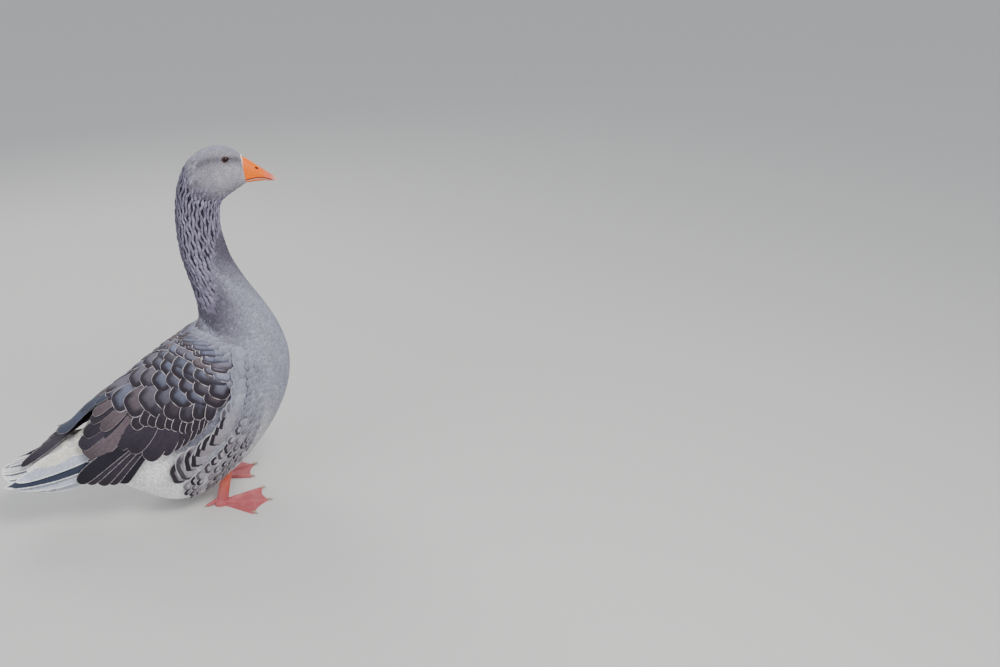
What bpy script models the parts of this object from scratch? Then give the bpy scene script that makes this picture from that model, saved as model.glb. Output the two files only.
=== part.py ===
"""A Toulouse goose, life size, standing in right profile with its wings folded.

Metres, +Z up, +X forward, +Y the bird's left. It is modelled about the middle of its heels on the
floor, then set so that the middle of its box stands over the origin.
"""

import math

import bmesh
import bpy
import numpy as np
from mathutils import Matrix, Vector
from mathutils.bvhtree import BVHTree

# Gaps and thicknesses
GAP = 0.0003
SOCKET_GAP = 0.0004
BELLY_CLEAR = 0.016

# Sections of the bird from rump to bill: back x and z, belly or front x and z, half width, how much
# wider (+) or narrower (-) the upper half is than the lower one, and the power of its outline, which
# is 1 for an ellipse and less for a squarer section.
RUMP_AND_BODY = [
    (-0.285, 0.200, -0.262, 0.110, 0.052, 0.00, 1.00),
    (-0.248, 0.226, -0.222, 0.092, 0.060, 0.00, 1.00),
    (-0.198, 0.260, -0.158, 0.048, 0.086, 0.02, 0.95),
    (-0.146, 0.298, -0.090, BELLY_CLEAR, 0.106, 0.02, 0.92),
    (-0.096, 0.338, -0.020, 0.030, 0.117, 0.04, 0.90),
    (-0.052, 0.372, 0.048, 0.078, 0.120, 0.06, 0.90),
    (-0.018, 0.400, 0.104, 0.134, 0.117, 0.05, 0.92),
    (0.003, 0.423, 0.152, 0.200, 0.108, 0.02, 0.95),
    (0.012, 0.444, 0.184, 0.270, 0.097, -0.02, 1.00),
]
BREAST_AND_NECK = [
    (0.015, 0.466, 0.193, 0.340, 0.083, -0.06, 1.00),
    (0.014, 0.492, 0.180, 0.404, 0.069, -0.08, 1.00),
    (0.010, 0.524, 0.153, 0.466, 0.056, -0.06, 1.00),
    (0.003, 0.562, 0.121, 0.524, 0.047, -0.03, 1.00),
    (-0.002, 0.602, 0.097, 0.579, 0.041, 0.00, 1.00),
    (-0.003, 0.642, 0.087, 0.626, 0.0385, 0.00, 1.00),
    (0.000, 0.682, 0.085, 0.667, 0.037, 0.00, 1.00),
]
NAPE_AND_HEAD = [
    (0.006, 0.716, 0.090, 0.697, 0.0360, 0.00, 1.00),
    (0.016, 0.750, 0.103, 0.712, 0.0355, 0.00, 1.00),
    (0.034, 0.784, 0.116, 0.720, 0.0350, -0.02, 1.00),
    (0.058, 0.806, 0.127, 0.726, 0.0335, -0.04, 0.98),
    (0.083, 0.816, 0.136, 0.731, 0.0310, -0.08, 0.95),
    (0.108, 0.8165, 0.142, 0.734, 0.0272, -0.10, 0.92),
    (0.129, 0.8075, 0.1455, 0.736, 0.0228, -0.10, 0.86),
    (0.1435, 0.7950, 0.1470, 0.7375, 0.0188, -0.08, 0.78),
]
STATIONS = np.array(RUMP_AND_BODY + BREAST_AND_NECK + NAPE_AND_HEAD)
# What the folded wings add to the body: how much higher the back is, and how much wider the bird.
WING_BULK = np.array([
    (0.032, 0.018), (0.038, 0.020), (0.036, 0.014), (0.031, 0.012), (0.024, 0.011),
    (0.017, 0.010), (0.012, 0.009), (0.007, 0.006), (0.003, 0.003),
])
# Where the wings' ends lie, past the rump: sections as above, from the tips forwards
WING_ENDS = np.array([
    (-0.404, 0.188, -0.376, 0.080, 0.070, 0.0, 1.0),
    (-0.346, 0.216, -0.320, 0.100, 0.074, 0.0, 1.0),
])


def dressed_stations():
    """The stations of the body with its wings, led by those of the wings' ends."""
    body = STATIONS[: len(WING_BULK)].copy()
    for row, (raised, wider) in zip(body, WING_BULK):
        up = (row[:2] - row[2:4]) / np.linalg.norm(row[:2] - row[2:4])
        row[:2] += up * raised
        row[4] += wider
    return np.vstack([WING_ENDS, body, STATIONS[len(WING_BULK) : len(WING_BULK) + 2]])


DRESSED = dressed_stations()
ENDS = len(WING_ENDS)
BREAST_TOP = 9.6
NECK_MIDDLE = 12.6
NAPE = 17.0
BILL_BASE = float(len(STATIONS) - 1)

# Sides round each length of the loft, and rings to each station
BODY_SIDES, BODY_RINGS = 32, 2
WING_COLUMNS = 7
NECK_SIDES = 48
HEAD_SIDES, HEAD_RINGS = 32, 2

# Neck furrows: how far the ridges stand above the furrows
FURROW_DEPTH = 0.0022

# The bill, back to front: x, the height of its top and of its lower edge, and its half width
UPPER_BILL = [
    (0.1470, 0.7942, 0.7470, 0.0172),
    (0.1600, 0.7832, 0.7484, 0.0160),
    (0.1720, 0.7728, 0.7488, 0.0141),
    (0.1840, 0.7626, 0.7470, 0.0122),
    (0.1985, 0.7512, 0.7412, 0.0104),
]
LOWER_BILL = [
    (0.1470, 0.7463, 0.7378, 0.0148),
    (0.1600, 0.7477, 0.7380, 0.0138),
    (0.1720, 0.7481, 0.7384, 0.0121),
    (0.1840, 0.7463, 0.7384, 0.0101),
    (0.1985, 0.7405, 0.7368, 0.0076),
    (0.2030, 0.7385, 0.7366, 0.0045),
]
NAIL = [
    (0.1985, 0.7512, 0.7412, 0.0104),
    (0.2040, 0.7478, 0.7392, 0.0090),
    (0.2080, 0.7438, 0.7374, 0.0062),
    (0.2098, 0.7405, 0.7370, 0.0030),
]
BILL_ARCH = 12
NOSTRIL = (0.1715, 0.0125, 0.7672)
NOSTRIL_SIZE = (0.0034, 0.0030, 0.0012)

# Eyes and lids
EYE_RADIUS = 0.0068
EYE_PLACE = (0.1118, 0.7925)
EYE_SINK = 0.0045
EYE_AXIS = (0.17, 0.97, 0.14)
LID_LENGTH, LID_HEIGHT, LID_ROLL = 0.0068, 0.0057, 0.0012
LID_LEVEL = (1, 0, -0.12)

# Legs: the middle of each hock and ankle, seen on the right, and their half depths and half widths
HOCK = (0.024, 0.050, 0.128)
ANKLE = (-0.010, 0.056, 0.0)
STRIDE = -0.010
SHANK = [(0.0, 0.0125, 0.0105), (0.25, 0.0120, 0.0095), (0.55, 0.0098, 0.0076), (0.8, 0.0102, 0.0082)]
ANKLE_CUT = 0.030
FOOT_TOP = 0.0140

# Toes of the right foot: heading from straight ahead towards the midline in degrees, and length
TOES = {"inner": (16, 0.098), "middle": (-13, 0.108), "outer": (-43, 0.094)}
HIND_TOE = (-172, 0.034)
WEB, TOE_HEIGHT, TOE_WIDTH, HEEL_PAD = 0.0016, 0.0080, 0.0052, 0.017
CLAW_LENGTH, CLAW_RADIUS = 0.012, 0.0030

# The tail: its axis, which turns a little to the bird's left, and the fan of its feathers
TAIL_SLOPE = math.radians(9)
TAIL_TURN = math.radians(4)
TAIL_ROOT = (-0.2770, 0.1700)
TAIL_REACH = 0.165
TAIL_FEATHERS = 11
TAIL_FAN = math.radians(19)
TAIL_START, TAIL_SPREAD = 0.040, 0.034
TAIL_DROOP, TAIL_ROUNDING = 0.018, 0.30
RECTRIX_WIDTH = 0.030
# The rump behind the torso: how far back, its height over and under the tail's plane, half width
RUMP = [
    (0.021, 0.031, 0.058, 0.058),
    (0.044, 0.022, 0.049, 0.056),
    (0.068, 0.009, 0.033, 0.046),
]
# Tiers of tail coverts, over (+) and under (-) the tail: side, how many, how far back their roots and
# their tips lie, how far from the tail's plane these are at the middle and at the sides, and half the
# width over which they spread.
TAIL_COVERTS = [
    (-1, 5, (0.030, 0.118), (0.032, 0.015), (0.030, 0.041), (0.037, 0.057)),
    (-1, 4, (0.008, 0.088), (0.044, 0.034), (0.037, 0.050), (0.037, 0.056)),
    (1, 5, (0.024, 0.100), (0.018, 0.0065), (0.004, -0.011), (0.034, 0.056)),
    (1, 4, (0.006, 0.068), (0.025, 0.015), (0.010, 0.002), (0.032, 0.050)),
]
TAIL_COVERT_WIDTH = 0.030

# A vane's width along its length, as shares of the width
LONG_VANE = [(0.0, 0.5), (0.5, 1.0), (0.88, 0.88), (1.0, 0.40)]
COVERT_VANE = [(0.0, 0.5), (0.74, 1.0), (1.0, 0.45)]
TAIL_VANE = [(0.0, 0.5), (0.6, 1.0), (0.93, 0.85), (1.0, 0.45)]
VANE_THICK = 0.0007
VANE_SINK, VANE_LIFT = 0.0036, 0.0040
VANE_ROLL, TAIL_ROLL = 0.0012, 0.0016

# The primaries of each folded wing: where they start and bend, as places on the dressed body, and
# where their tips lie and face. The right wing hangs, and the left one lies across the rump, raised
# over it at the bend.
PRIMARY_COUNT = 4
PRIMARY_WIDTH = 0.031
PRIMARY_ROOT = [(3.6, 1.20), (3.2, 1.10)]
PRIMARY_BEND = {"right": [(2.0, 1.62), (1.2, 1.50)], "left": [(1.2, 1.25), (0.4, 0.80)]}
PRIMARY_TIPS = {
    "right": [(-0.196, -0.098, 0.126), (-0.236, -0.087, 0.123), (-0.282, -0.074, 0.131)],
    "left": [(-0.300, 0.074, 0.190), (-0.340, 0.052, 0.184), (-0.374, 0.000, 0.170)],
}
PRIMARY_FACING = {"right": (0, -1, 0.3), "left": (0, 0.35, 1)}
PRIMARY_LIFT = {"right": 0.012, "left": 0.008}

# Tiers of one wing, from the lowest to the uppermost. Each has the line that its tips follow, as
# places on the dressed body from the front or lower end, how far back towards the shoulder its roots
# lie, how many feathers it has, their width and their shape.
COVERT_STEP = (0.95, -0.28)
SECONDARY_TIPS = [(4.10, 1.50), (3.2, 1.52), (2.6, 1.54), (1.9, 1.52)]
GREATER_TIPS = [(4.85, 1.42), (4.0, 1.22), (3.4, 1.10), (2.35, 1.30)]
TERTIAL_TIPS = {
    "right": [(0.65, 1.40), (1.15, 1.00), (1.60, 0.70), (1.60, 0.34)],
    "left": [(0.65, 1.36), (-0.30, 1.10), (-0.85, 0.86), (0.60, 0.34)],
}
MEDIAN_TIPS = [(5.30, 1.38), (4.5, 1.16), (3.6, 0.92), (2.75, 0.72), (2.5, 0.30)]
LESSER_TIPS = [(5.75, 1.34), (5.0, 1.02), (4.2, 0.74), (3.4, 0.30)]
REAR_SCAPULAR_TIPS = [(6.25, 1.34), (5.6, 0.94), (4.9, 0.62), (4.2, 0.28)]
FRONT_SCAPULAR_TIPS = [(6.65, 1.30), (6.3, 0.92), (5.8, 0.60), (5.2, 0.34)]


def wing_tiers(side_name):
    """The tiers over the primaries on one side, as the lines above say."""
    return [
        ("secondary", SECONDARY_TIPS, (1.45, -0.50), 6, 0.033, LONG_VANE),
        ("greater covert", GREATER_TIPS, COVERT_STEP, 6, 0.036, COVERT_VANE),
        ("tertial", TERTIAL_TIPS[side_name], (2.3, -0.16), 5, 0.042, LONG_VANE),
        ("median covert", MEDIAN_TIPS, COVERT_STEP, 6, 0.043, COVERT_VANE),
        ("lesser covert", LESSER_TIPS, COVERT_STEP, 5, 0.043, COVERT_VANE),
        ("rear scapular", REAR_SCAPULAR_TIPS, COVERT_STEP, 5, 0.041, COVERT_VANE),
        ("front scapular", FRONT_SCAPULAR_TIPS, (0.75, -0.20), 4, 0.043, COVERT_VANE),
    ]


# The slab of a folded wing: its first and last station, how far it lies over the torso, its least
# thickness, and how near the middle line its feathers may start
WING_START, WING_END = 1.0, 8.0
WING_CLEAR = 1.3 * GAP
WING_EDGE = 0.0012
LEAST_TURN = 0.10

MATERIALS = {
    "plumage_grey": ((0.23, 0.21, 0.205), 0.9),
    "plumage_dark": ((0.075, 0.062, 0.060), 0.85),
    "plumage_brown": ((0.105, 0.085, 0.078), 0.8),
    "plumage_white": ((0.78, 0.76, 0.72), 0.9),
    "bill_orange": ((0.90, 0.33, 0.05), 0.4),
    "nail_pink": ((0.80, 0.58, 0.52), 0.35),
    "leg_pink": ((0.78, 0.30, 0.25), 0.5),
    "claw_horn": ((0.62, 0.50, 0.42), 0.4),
    "eye_brown": ((0.055, 0.016, 0.010), 0.06),
}


def material(name):
    """A plain Principled material of the given name, made once."""
    found = bpy.data.materials.get(name)
    if found:
        return found
    colour, roughness = MATERIALS[name]
    made = bpy.data.materials.new(name)
    made.use_nodes = True
    shader = made.node_tree.nodes["Principled BSDF"]
    shader.inputs["Base Color"].default_value = (*colour, 1.0)
    shader.inputs["Roughness"].default_value = roughness
    shader.inputs["Metallic"].default_value = 0.0
    return made


def add_object(name, points, faces, finish=None):
    """A mesh object from points and faces, with its normals made to agree."""
    mesh = bpy.data.meshes.new(name)
    mesh.from_pydata([tuple(map(float, p)) for p in points], [], faces)
    shell = bmesh.new()
    shell.from_mesh(mesh)
    bmesh.ops.recalc_face_normals(shell, faces=shell.faces)
    shell.to_mesh(mesh)
    shell.free()
    thing = bpy.data.objects.new(name, mesh)
    bpy.context.scene.collection.objects.link(thing)
    if finish:
        mesh.materials.append(material(finish))
    return thing


def apply_modifiers(thing):
    """The object keeps the mesh that its modifiers make, and the modifiers go."""
    bpy.context.view_layer.update()
    graph = bpy.context.evaluated_depsgraph_get()
    mesh = bpy.data.meshes.new_from_object(thing.evaluated_get(graph))
    thing.modifiers.clear()
    thing.data = mesh


def boolean(target, others, operation, solver="EXACT"):
    """Joins the others to the target, or cuts them from it, and removes them."""
    group = bpy.data.collections.new("cutters")
    bpy.context.scene.collection.children.link(group)
    for other in others:
        bpy.context.scene.collection.objects.unlink(other)
        group.objects.link(other)
    cut = target.modifiers.new("join", "BOOLEAN")
    cut.operation = operation
    cut.operand_type = "COLLECTION"
    cut.collection = group
    cut.solver = solver
    apply_modifiers(target)
    for other in list(group.objects):
        bpy.data.objects.remove(other)
    bpy.data.collections.remove(group)
    keep_largest(target)


def keep_largest(thing):
    """Only the largest closed surface of a mesh stays, as triangles."""
    shell = bmesh.new()
    shell.from_mesh(thing.data)
    bmesh.ops.remove_doubles(shell, verts=shell.verts, dist=1e-6)
    left = set(shell.verts)
    islands = []
    while left:
        front = [left.pop()]
        island = set(front)
        while front:
            near = [e.other_vert(v) for v in front for e in v.link_edges]
            front = [v for v in set(near) if v not in island]
            island.update(front)
        left -= island
        islands.append(island)
    largest = max(islands, key=lambda island: sum(len(v.link_faces) for v in island))
    loose = [v for island in islands if island is not largest for v in island]
    bmesh.ops.delete(shell, geom=loose, context="VERTS")
    bmesh.ops.triangulate(shell, faces=shell.faces)
    bmesh.ops.recalc_face_normals(shell, faces=shell.faces)
    shell.to_mesh(thing.data)
    shell.free()


def shade(thing, angle=math.radians(40)):
    thing.data.shade_smooth()
    thing.data.set_sharp_from_angle(angle=angle)


def between(low, high, x):
    """0 below low, 1 above high, and a smooth rise between them."""
    u = min(1.0, max(0.0, (x - low) / (high - low)))
    return u * u * (3 - 2 * u)


def station(t, table=STATIONS):
    """The section at a place along the bird, on a smooth curve through the stations."""
    last = len(table) - 1
    i = min(int(t), last - 1)
    u = t - i
    p1, p2 = table[i], table[i + 1]
    p0 = table[i - 1] if i else 2 * p1 - p2
    p3 = table[i + 2] if i + 2 <= last else 2 * p2 - p1
    return 0.5 * (
        2 * p1
        + (p2 - p0) * u
        + (2 * p0 - 5 * p1 + 4 * p2 - p3) * u * u
        + (3 * p1 - p0 - 3 * p2 + p3) * u**3
    )


def section_point(t, turn, inset=0.0, table=STATIONS):
    """A point of the section at t. Turn 0 is the back, and a quarter turn is the bird's right."""
    back_x, back_z, front_x, front_z, half, egg, power = station(t, table)
    middle = Vector(((back_x + front_x) / 2, 0, (back_z + front_z) / 2))
    up = Vector((back_x - front_x, 0, back_z - front_z)) / 2
    height = up.length
    up.normalize()
    c, s = (math.copysign(abs(v) ** power, v) for v in (math.cos(turn), math.sin(turn)))
    return middle + up * (height - inset) * c + Vector((0, -1, 0)) * (half - inset) * s * (1 + egg * c)


def section_normal(t, table=STATIONS):
    """The direction along the bird, towards the bill, square to the section at t."""
    back_x, back_z, front_x, front_z = station(t, table)[:4]
    return Vector((back_z - front_z, 0, front_x - back_x)).normalized()


def loft(rings, name, finish=None):
    """A closed solid through rings of points, with flat ends."""
    sides = len(rings[0])
    points = [p for ring in rings for p in ring]
    faces = []
    for i in range(len(rings) - 1):
        for j in range(sides):
            a, b = i * sides + j, i * sides + (j + 1) % sides
            faces += [(a, b, b + sides), (a, b + sides, a + sides)]
    faces.append(tuple(range(sides)))
    end = (len(rings) - 1) * sides
    faces.append(tuple(range(end, end + sides)))
    return add_object(name, points, faces, finish)


def ring_at(t, sides, radial=None):
    """The ring of the loft at t, with each point moved outwards by what radial says."""
    ring = []
    for j in range(sides):
        turn = 2 * math.pi * j / sides
        ring.append(section_point(t, turn, -radial(t, j) if radial else 0.0))
    return ring


def length_of_bird(name, finish, start, end, sides, rings, radial=None, open_end=False):
    """One length of the loft, from start to end, set back from the next one by the gap."""
    steps = max(1, round((end - start) * rings))
    places = [start + (end - start) * i / steps for i in range(steps + 1)]
    made = [ring_at(t, sides, radial=radial) for t in places]
    if not open_end:
        forward = section_normal(end)
        made[-1] = [p - forward * GAP for p in made[-1]]
    return loft(made, name, finish)


def furrow(t, j):
    """How far the neck's ridges stand out and its furrows sink, at every other point round it."""
    turn = 2 * math.pi * j / NECK_SIDES
    front = 0.5 - 0.5 * math.cos(turn)
    strength = between(NECK_MIDDLE - 1.0, NECK_MIDDLE + 1.2, t) * (1 - 0.75 * front**3)
    strength *= 1 - between(NAPE - 0.5, NAPE, t)
    return FURROW_DEPTH * strength * (1 if j % 2 else -1) * 0.5


def make_torso():
    """The body from the rump to the breast, with sockets for the shanks."""
    torso = length_of_bird("torso", "plumage_grey", 0.0, BREAST_TOP, BODY_SIDES, BODY_RINGS)
    sockets = [leg_solid("socket", side, SOCKET_GAP) for side in (-1, 1)]
    boolean(torso, sockets, "DIFFERENCE")
    return torso


def make_neck():
    """The two lengths of the neck, furrowed from the middle up."""
    lower = length_of_bird("neck_lower", "plumage_grey", BREAST_TOP, NECK_MIDDLE, NECK_SIDES, 2, furrow)
    upper = length_of_bird("neck_upper", "plumage_dark", NECK_MIDDLE, NAPE, NECK_SIDES, 2.5, furrow)
    return [lower, upper]


def tube(name, centres, halves, sides, across, along, finish=None):
    """A closed tube through centres, with half sizes across and along at each."""
    rings = []
    for centre, (half_across, half_along) in zip(centres, halves):
        ring = []
        for j in range(sides):
            turn = 2 * math.pi * j / sides
            aside = across * half_across * math.cos(turn)
            ring.append(centre + aside + along * half_along * math.sin(turn))
        rings.append(ring)
    return loft(rings, name, finish)


def ball(name, centre, radii, axes=Matrix.Identity(3), segments=12, rings=7, finish=None):
    """A closed ellipsoid, turned by its axes."""
    mesh = bmesh.new()
    bmesh.ops.create_uvsphere(mesh, u_segments=segments, v_segments=rings, radius=1.0)
    points = [Vector(centre) + axes @ Vector(v.co * Vector(radii)) for v in mesh.verts]
    mesh.verts.index_update()
    faces = [[v.index for v in face.verts] for face in mesh.faces]
    mesh.free()
    return add_object(name, points, faces, finish)


def eye_frame(side, surface):
    """Where an eye's middle lies, and the way it faces, from the head's surface at its place."""
    x, z = EYE_PLACE
    facing = Vector((EYE_AXIS[0], side * EYE_AXIS[1], EYE_AXIS[2])).normalized()
    start = Vector((x, side * 0.02, z)) + facing * 0.05
    hit = surface.ray_cast(start, -facing)[0]
    return hit - facing * EYE_SINK, facing


def lid_ring(centre, facing):
    """The rim of the lids: a rolled oval round the eye."""
    level = Vector(LID_LEVEL)
    along = (level - facing * facing.dot(level)).normalized()
    up = facing.cross(along)
    sides, steps = 4, 14
    points, faces = [], []
    middle = centre + facing * (EYE_SINK + 0.0001)
    for i in range(steps):
        turn = 2 * math.pi * i / steps
        out = along * math.cos(turn) * LID_LENGTH + up * math.sin(turn) * LID_HEIGHT
        spoke = out.normalized()
        for j in range(sides):
            roll = 2 * math.pi * j / sides
            points.append(middle + out + (spoke * math.cos(roll) + facing * math.sin(roll)) * LID_ROLL)
    for i in range(steps):
        for j in range(sides):
            a, b = i * sides + j, i * sides + (j + 1) % sides
            c, d = (a + sides) % len(points), (b + sides) % len(points)
            faces.append((a, b, d, c))
    return add_object("lid", points, faces)


def make_head():
    """The head with its lids, and the eyes in their sockets."""
    head = length_of_bird(
        "head", "plumage_grey", NAPE, BILL_BASE, HEAD_SIDES, HEAD_RINGS, open_end=True
    )
    surface = BVHTree.FromObject(head, bpy.context.evaluated_depsgraph_get())
    frames = {side: eye_frame(side, surface) for side in (-1, 1)}
    boolean(head, [lid_ring(*frame) for frame in frames.values()], "UNION")
    sockets = [
        ball("socket", centre, [EYE_RADIUS + 2 * GAP] * 3)
        for centre, _ in frames.values()
    ]
    boolean(head, sockets, "DIFFERENCE")
    eyes = [
        ball("eye_" + ("right" if side < 0 else "left"), frame[0], [EYE_RADIUS] * 3, finish="eye_brown")
        for side, frame in frames.items()
    ]
    return [head, *eyes]


def bill_ring(x, high, low, half, leaning, upper):
    """One section of a mandible: an arch with a flat face along the mouth."""
    ring = []
    for k in range(BILL_ARCH + 1):
        turn = math.pi * k / BILL_ARCH
        rise = math.sin(turn) ** 0.85
        z = low + (high - low) * rise if upper else high - (high - low) * rise
        ring.append([x, half * math.cos(turn), z])
    ring.insert(0, [x, half * 0.4, low if upper else high])
    ring.insert(0, [x, -half * 0.4, low if upper else high])
    lean = (STATIONS[-1][0] - STATIONS[-1][2]) / (STATIONS[-1][1] - STATIONS[-1][3])
    if leaning:
        for point in ring:
            point[0] += lean * (point[2] - STATIONS[-1][3]) + GAP
    return [Vector(p) for p in ring]


def mandible(name, table, finish, upper=True, at_head=True):
    """A length of the bill through its sections, the first one leaning like the face."""
    rings = []
    for i, row in enumerate(table):
        rings.append(bill_ring(*row, at_head and i == 0, upper))
    return loft(rings, name, finish)


def make_bill():
    """The upper bill with its nostrils, the nail at its tip, and the lower bill."""
    upper = mandible("bill_upper", UPPER_BILL, "bill_orange")
    slope = Matrix.Rotation(math.radians(35), 3, "Y")
    x, y, z = NOSTRIL
    pits = [ball("pit", (x, side * y, z), NOSTRIL_SIZE, slope, 8, 6) for side in (-1, 1)]
    boolean(upper, pits, "DIFFERENCE")
    nail_rows = [(row[0] + (GAP if i == 0 else 0), *row[1:]) for i, row in enumerate(NAIL)]
    nail = mandible("bill_nail", nail_rows, "nail_pink", at_head=False)
    lower = mandible("bill_lower", LOWER_BILL, "bill_orange", upper=False)
    return [upper, lower, nail]


def leg_place(side):
    """The hock and the ankle on one side, with one foot a little ahead of the other."""
    step = STRIDE * side
    hock = Vector((HOCK[0] + step, side * HOCK[1], HOCK[2]))
    ankle = Vector((ANKLE[0] + step, side * ANKLE[1], ANKLE[2]))
    return hock, ankle


def leg_solid(name, side, swell=0.0, finish=None):
    """The shank from the hock to the cut above the foot."""
    hock, ankle = leg_place(side)
    end = (hock.z - ANKLE_CUT) / (hock.z - ankle.z)
    rows = [row for row in SHANK if row[0] < end - 0.05] + [(end, *SHANK[-1][1:])]
    centres = [hock.lerp(ankle, row[0]) for row in rows]
    halves = [(row[1] + swell, row[2] + swell) for row in rows]
    return tube(name, centres, halves, 12, Vector((1, 0, 0)), Vector((0, 1, 0)), finish)


def toe_headings(side):
    """Each front toe's heading in radians and length, on one side."""
    return {
        name: (math.radians(turn) * -side, length)
        for name, (turn, length) in TOES.items()
    }


def web_reach(heading, toes):
    """How far the foot reaches at a heading from the ankle: toes, webs with a hollow edge, and pad."""
    headings = sorted(toes)
    if heading < headings[0][0] or heading > headings[-1][0]:
        turn, length = headings[0] if heading < headings[0][0] else headings[-1]
        off = abs(heading - turn)
        edge = TOE_WIDTH / max(math.sin(min(off, math.pi / 2)), TOE_WIDTH / length)
        return max(HEEL_PAD, edge)
    for (turn_a, length_a), (turn_b, length_b) in zip(headings, headings[1:]):
        if turn_a <= heading <= turn_b:
            u = (heading - turn_a) / (turn_b - turn_a)
            straight = length_a + (length_b - length_a) * u
            return straight * (1 - 0.22 * math.sin(math.pi * u) ** 0.7)
    return HEEL_PAD


def foot_height(radius, heading, toes):
    """The height of the foot's upper side over the floor."""
    height = WEB
    for turn, length in toes:
        off = heading - turn
        if abs(off) < math.pi / 2:
            aside = radius * abs(math.sin(off))
            joints = 1 + 0.10 * math.cos(2 * math.pi * radius / 0.032)
            along = TOE_HEIGHT * (1 - 0.45 * radius / length) * joints
            height = max(height, WEB + (along - WEB) * math.exp(-((aside / TOE_WIDTH) ** 2)))
    return max(height, FOOT_TOP * math.exp(-((radius / 0.020) ** 2)))


def make_foot(name, side):
    """A webbed foot with the end of its shank, its hind toe and its claws."""
    _, ankle = leg_place(side)
    toes = sorted(toe_headings(side).values())
    first, last = toes[0][0], toes[-1][0]
    fringe = math.radians(10)
    fine = 18
    headings = [first - fringe + (last - first + 2 * fringe) * i / fine for i in range(fine + 1)]
    around = 2 * math.pi - (headings[-1] - headings[0])
    headings += [headings[-1] + around * k / 9 for k in range(1, 9)]
    shares = (0.2, 0.45, 0.7, 0.88, 1.0)
    count = len(headings)
    points = [Vector((ankle.x, ankle.y, FOOT_TOP)), Vector((ankle.x, ankle.y, 0.0))]
    for share in shares:
        for heading in headings:
            turn = (heading + math.pi) % (2 * math.pi) - math.pi
            radius = web_reach(turn, toes) * share
            height = foot_height(radius, turn, toes)
            if share == 1.0:
                height *= 0.72
            direction = Vector((math.cos(heading), math.sin(heading), 0))
            points.append(ankle + direction * radius + Vector((0, 0, height)))
    rim = len(points) - count
    for point in points[rim:]:
        points.append(Vector((point.x, point.y, 0.0)))
    faces = []
    for j in range(count):
        k = (j + 1) % count
        faces.append((0, 2 + j, 2 + k))
        faces.append((1, rim + count + k, rim + count + j))
        for i in range(len(shares)):
            a, b = 2 + i * count + j, 2 + i * count + k
            faces += [(a, a + count, b + count), (a, b + count, b)]
    foot = add_object(name, points, faces, "leg_pink")
    hock, _ = leg_place(side)
    top = ANKLE_CUT - GAP
    centres = [ankle.lerp(hock, z / hock.z) for z in (0.003, 0.012, 0.021, top)]
    halves = [(0.0118, 0.0098), (0.0112, 0.0092), (0.0104, 0.0084), SHANK[-1][1:]]
    ankle_post = tube("post", centres, halves, 12, Vector((1, 0, 0)), Vector((0, 1, 0)))
    turn, length = HIND_TOE
    direction = Vector((math.cos(math.radians(turn)), math.sin(math.radians(turn)) * -side, 0))
    aside = Vector((-direction.y, direction.x, 0))
    places = [(0.004, 0.012, 0.0048), (0.016, 0.0085, 0.0046)]
    places += [(length - 0.008, 0.0046, 0.0040), (length, 0.0036, 0.0030)]
    centres = [ankle + direction * d + Vector((0, 0, z)) for d, z, _ in places]
    halves = [(r, min(r, z - 0.0004)) for _, z, r in places]
    halves[-2] = (halves[-2][0], centres[-2].z)
    hind = tube("hind", centres, halves, 8, aside, Vector((0, 0, 1)))
    boolean(foot, [ankle_post, hind], "UNION")
    claws = []
    side_name = "right" if side < 0 else "left"
    for toe, (turn, length) in toe_headings(side).items():
        claws.append(claw_solid(f"claw_{toe}_{side_name}", ankle, turn, length - 0.003, 0.0036))
    turn = math.radians(HIND_TOE[0]) * -side
    claws.append(claw_solid(f"claw_hind_{side_name}", ankle, turn, HIND_TOE[1] - 0.003, 0.0036, 0.75))
    cutters = [swollen_copy(claw) for claw in claws]
    boolean(foot, cutters, "DIFFERENCE")
    return [foot, *claws]


def claw_solid(name, ankle, turn, reach, height, scale=1.0):
    """A blunt claw, curving down to the floor."""
    direction = Vector((math.cos(turn), math.sin(turn), 0))
    aside = Vector((-direction.y, direction.x, 0))
    rows = [(0.0, 0.0, 1.0), (0.4, 0.0002, 0.9), (0.75, -0.0006, 0.6), (1.0, -0.0018, 0.22)]
    centres, halves = [], []
    for share, drop, thick in rows:
        place = ankle + direction * (reach + CLAW_LENGTH * share * scale)
        centres.append(place + Vector((0, 0, height + drop)))
        radius = CLAW_RADIUS * thick * scale
        halves.append((radius, min(radius, height + drop - 0.0004)))
    return tube(name, centres, halves, 8, aside, Vector((0, 0, 1)), "claw_horn")


def swollen_copy(thing):
    """A slightly larger copy, to cut the room that the thing sits in."""
    copy = thing.copy()
    copy.data = thing.data.copy()
    bpy.context.scene.collection.objects.link(copy)
    mesh = bmesh.new()
    mesh.from_mesh(copy.data)
    bmesh.ops.recalc_face_normals(mesh, faces=mesh.faces)
    mesh.normal_update()
    for vertex in mesh.verts:
        vertex.co += vertex.normal * 1.4 * GAP
    mesh.to_mesh(copy.data)
    mesh.free()
    return copy


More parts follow.
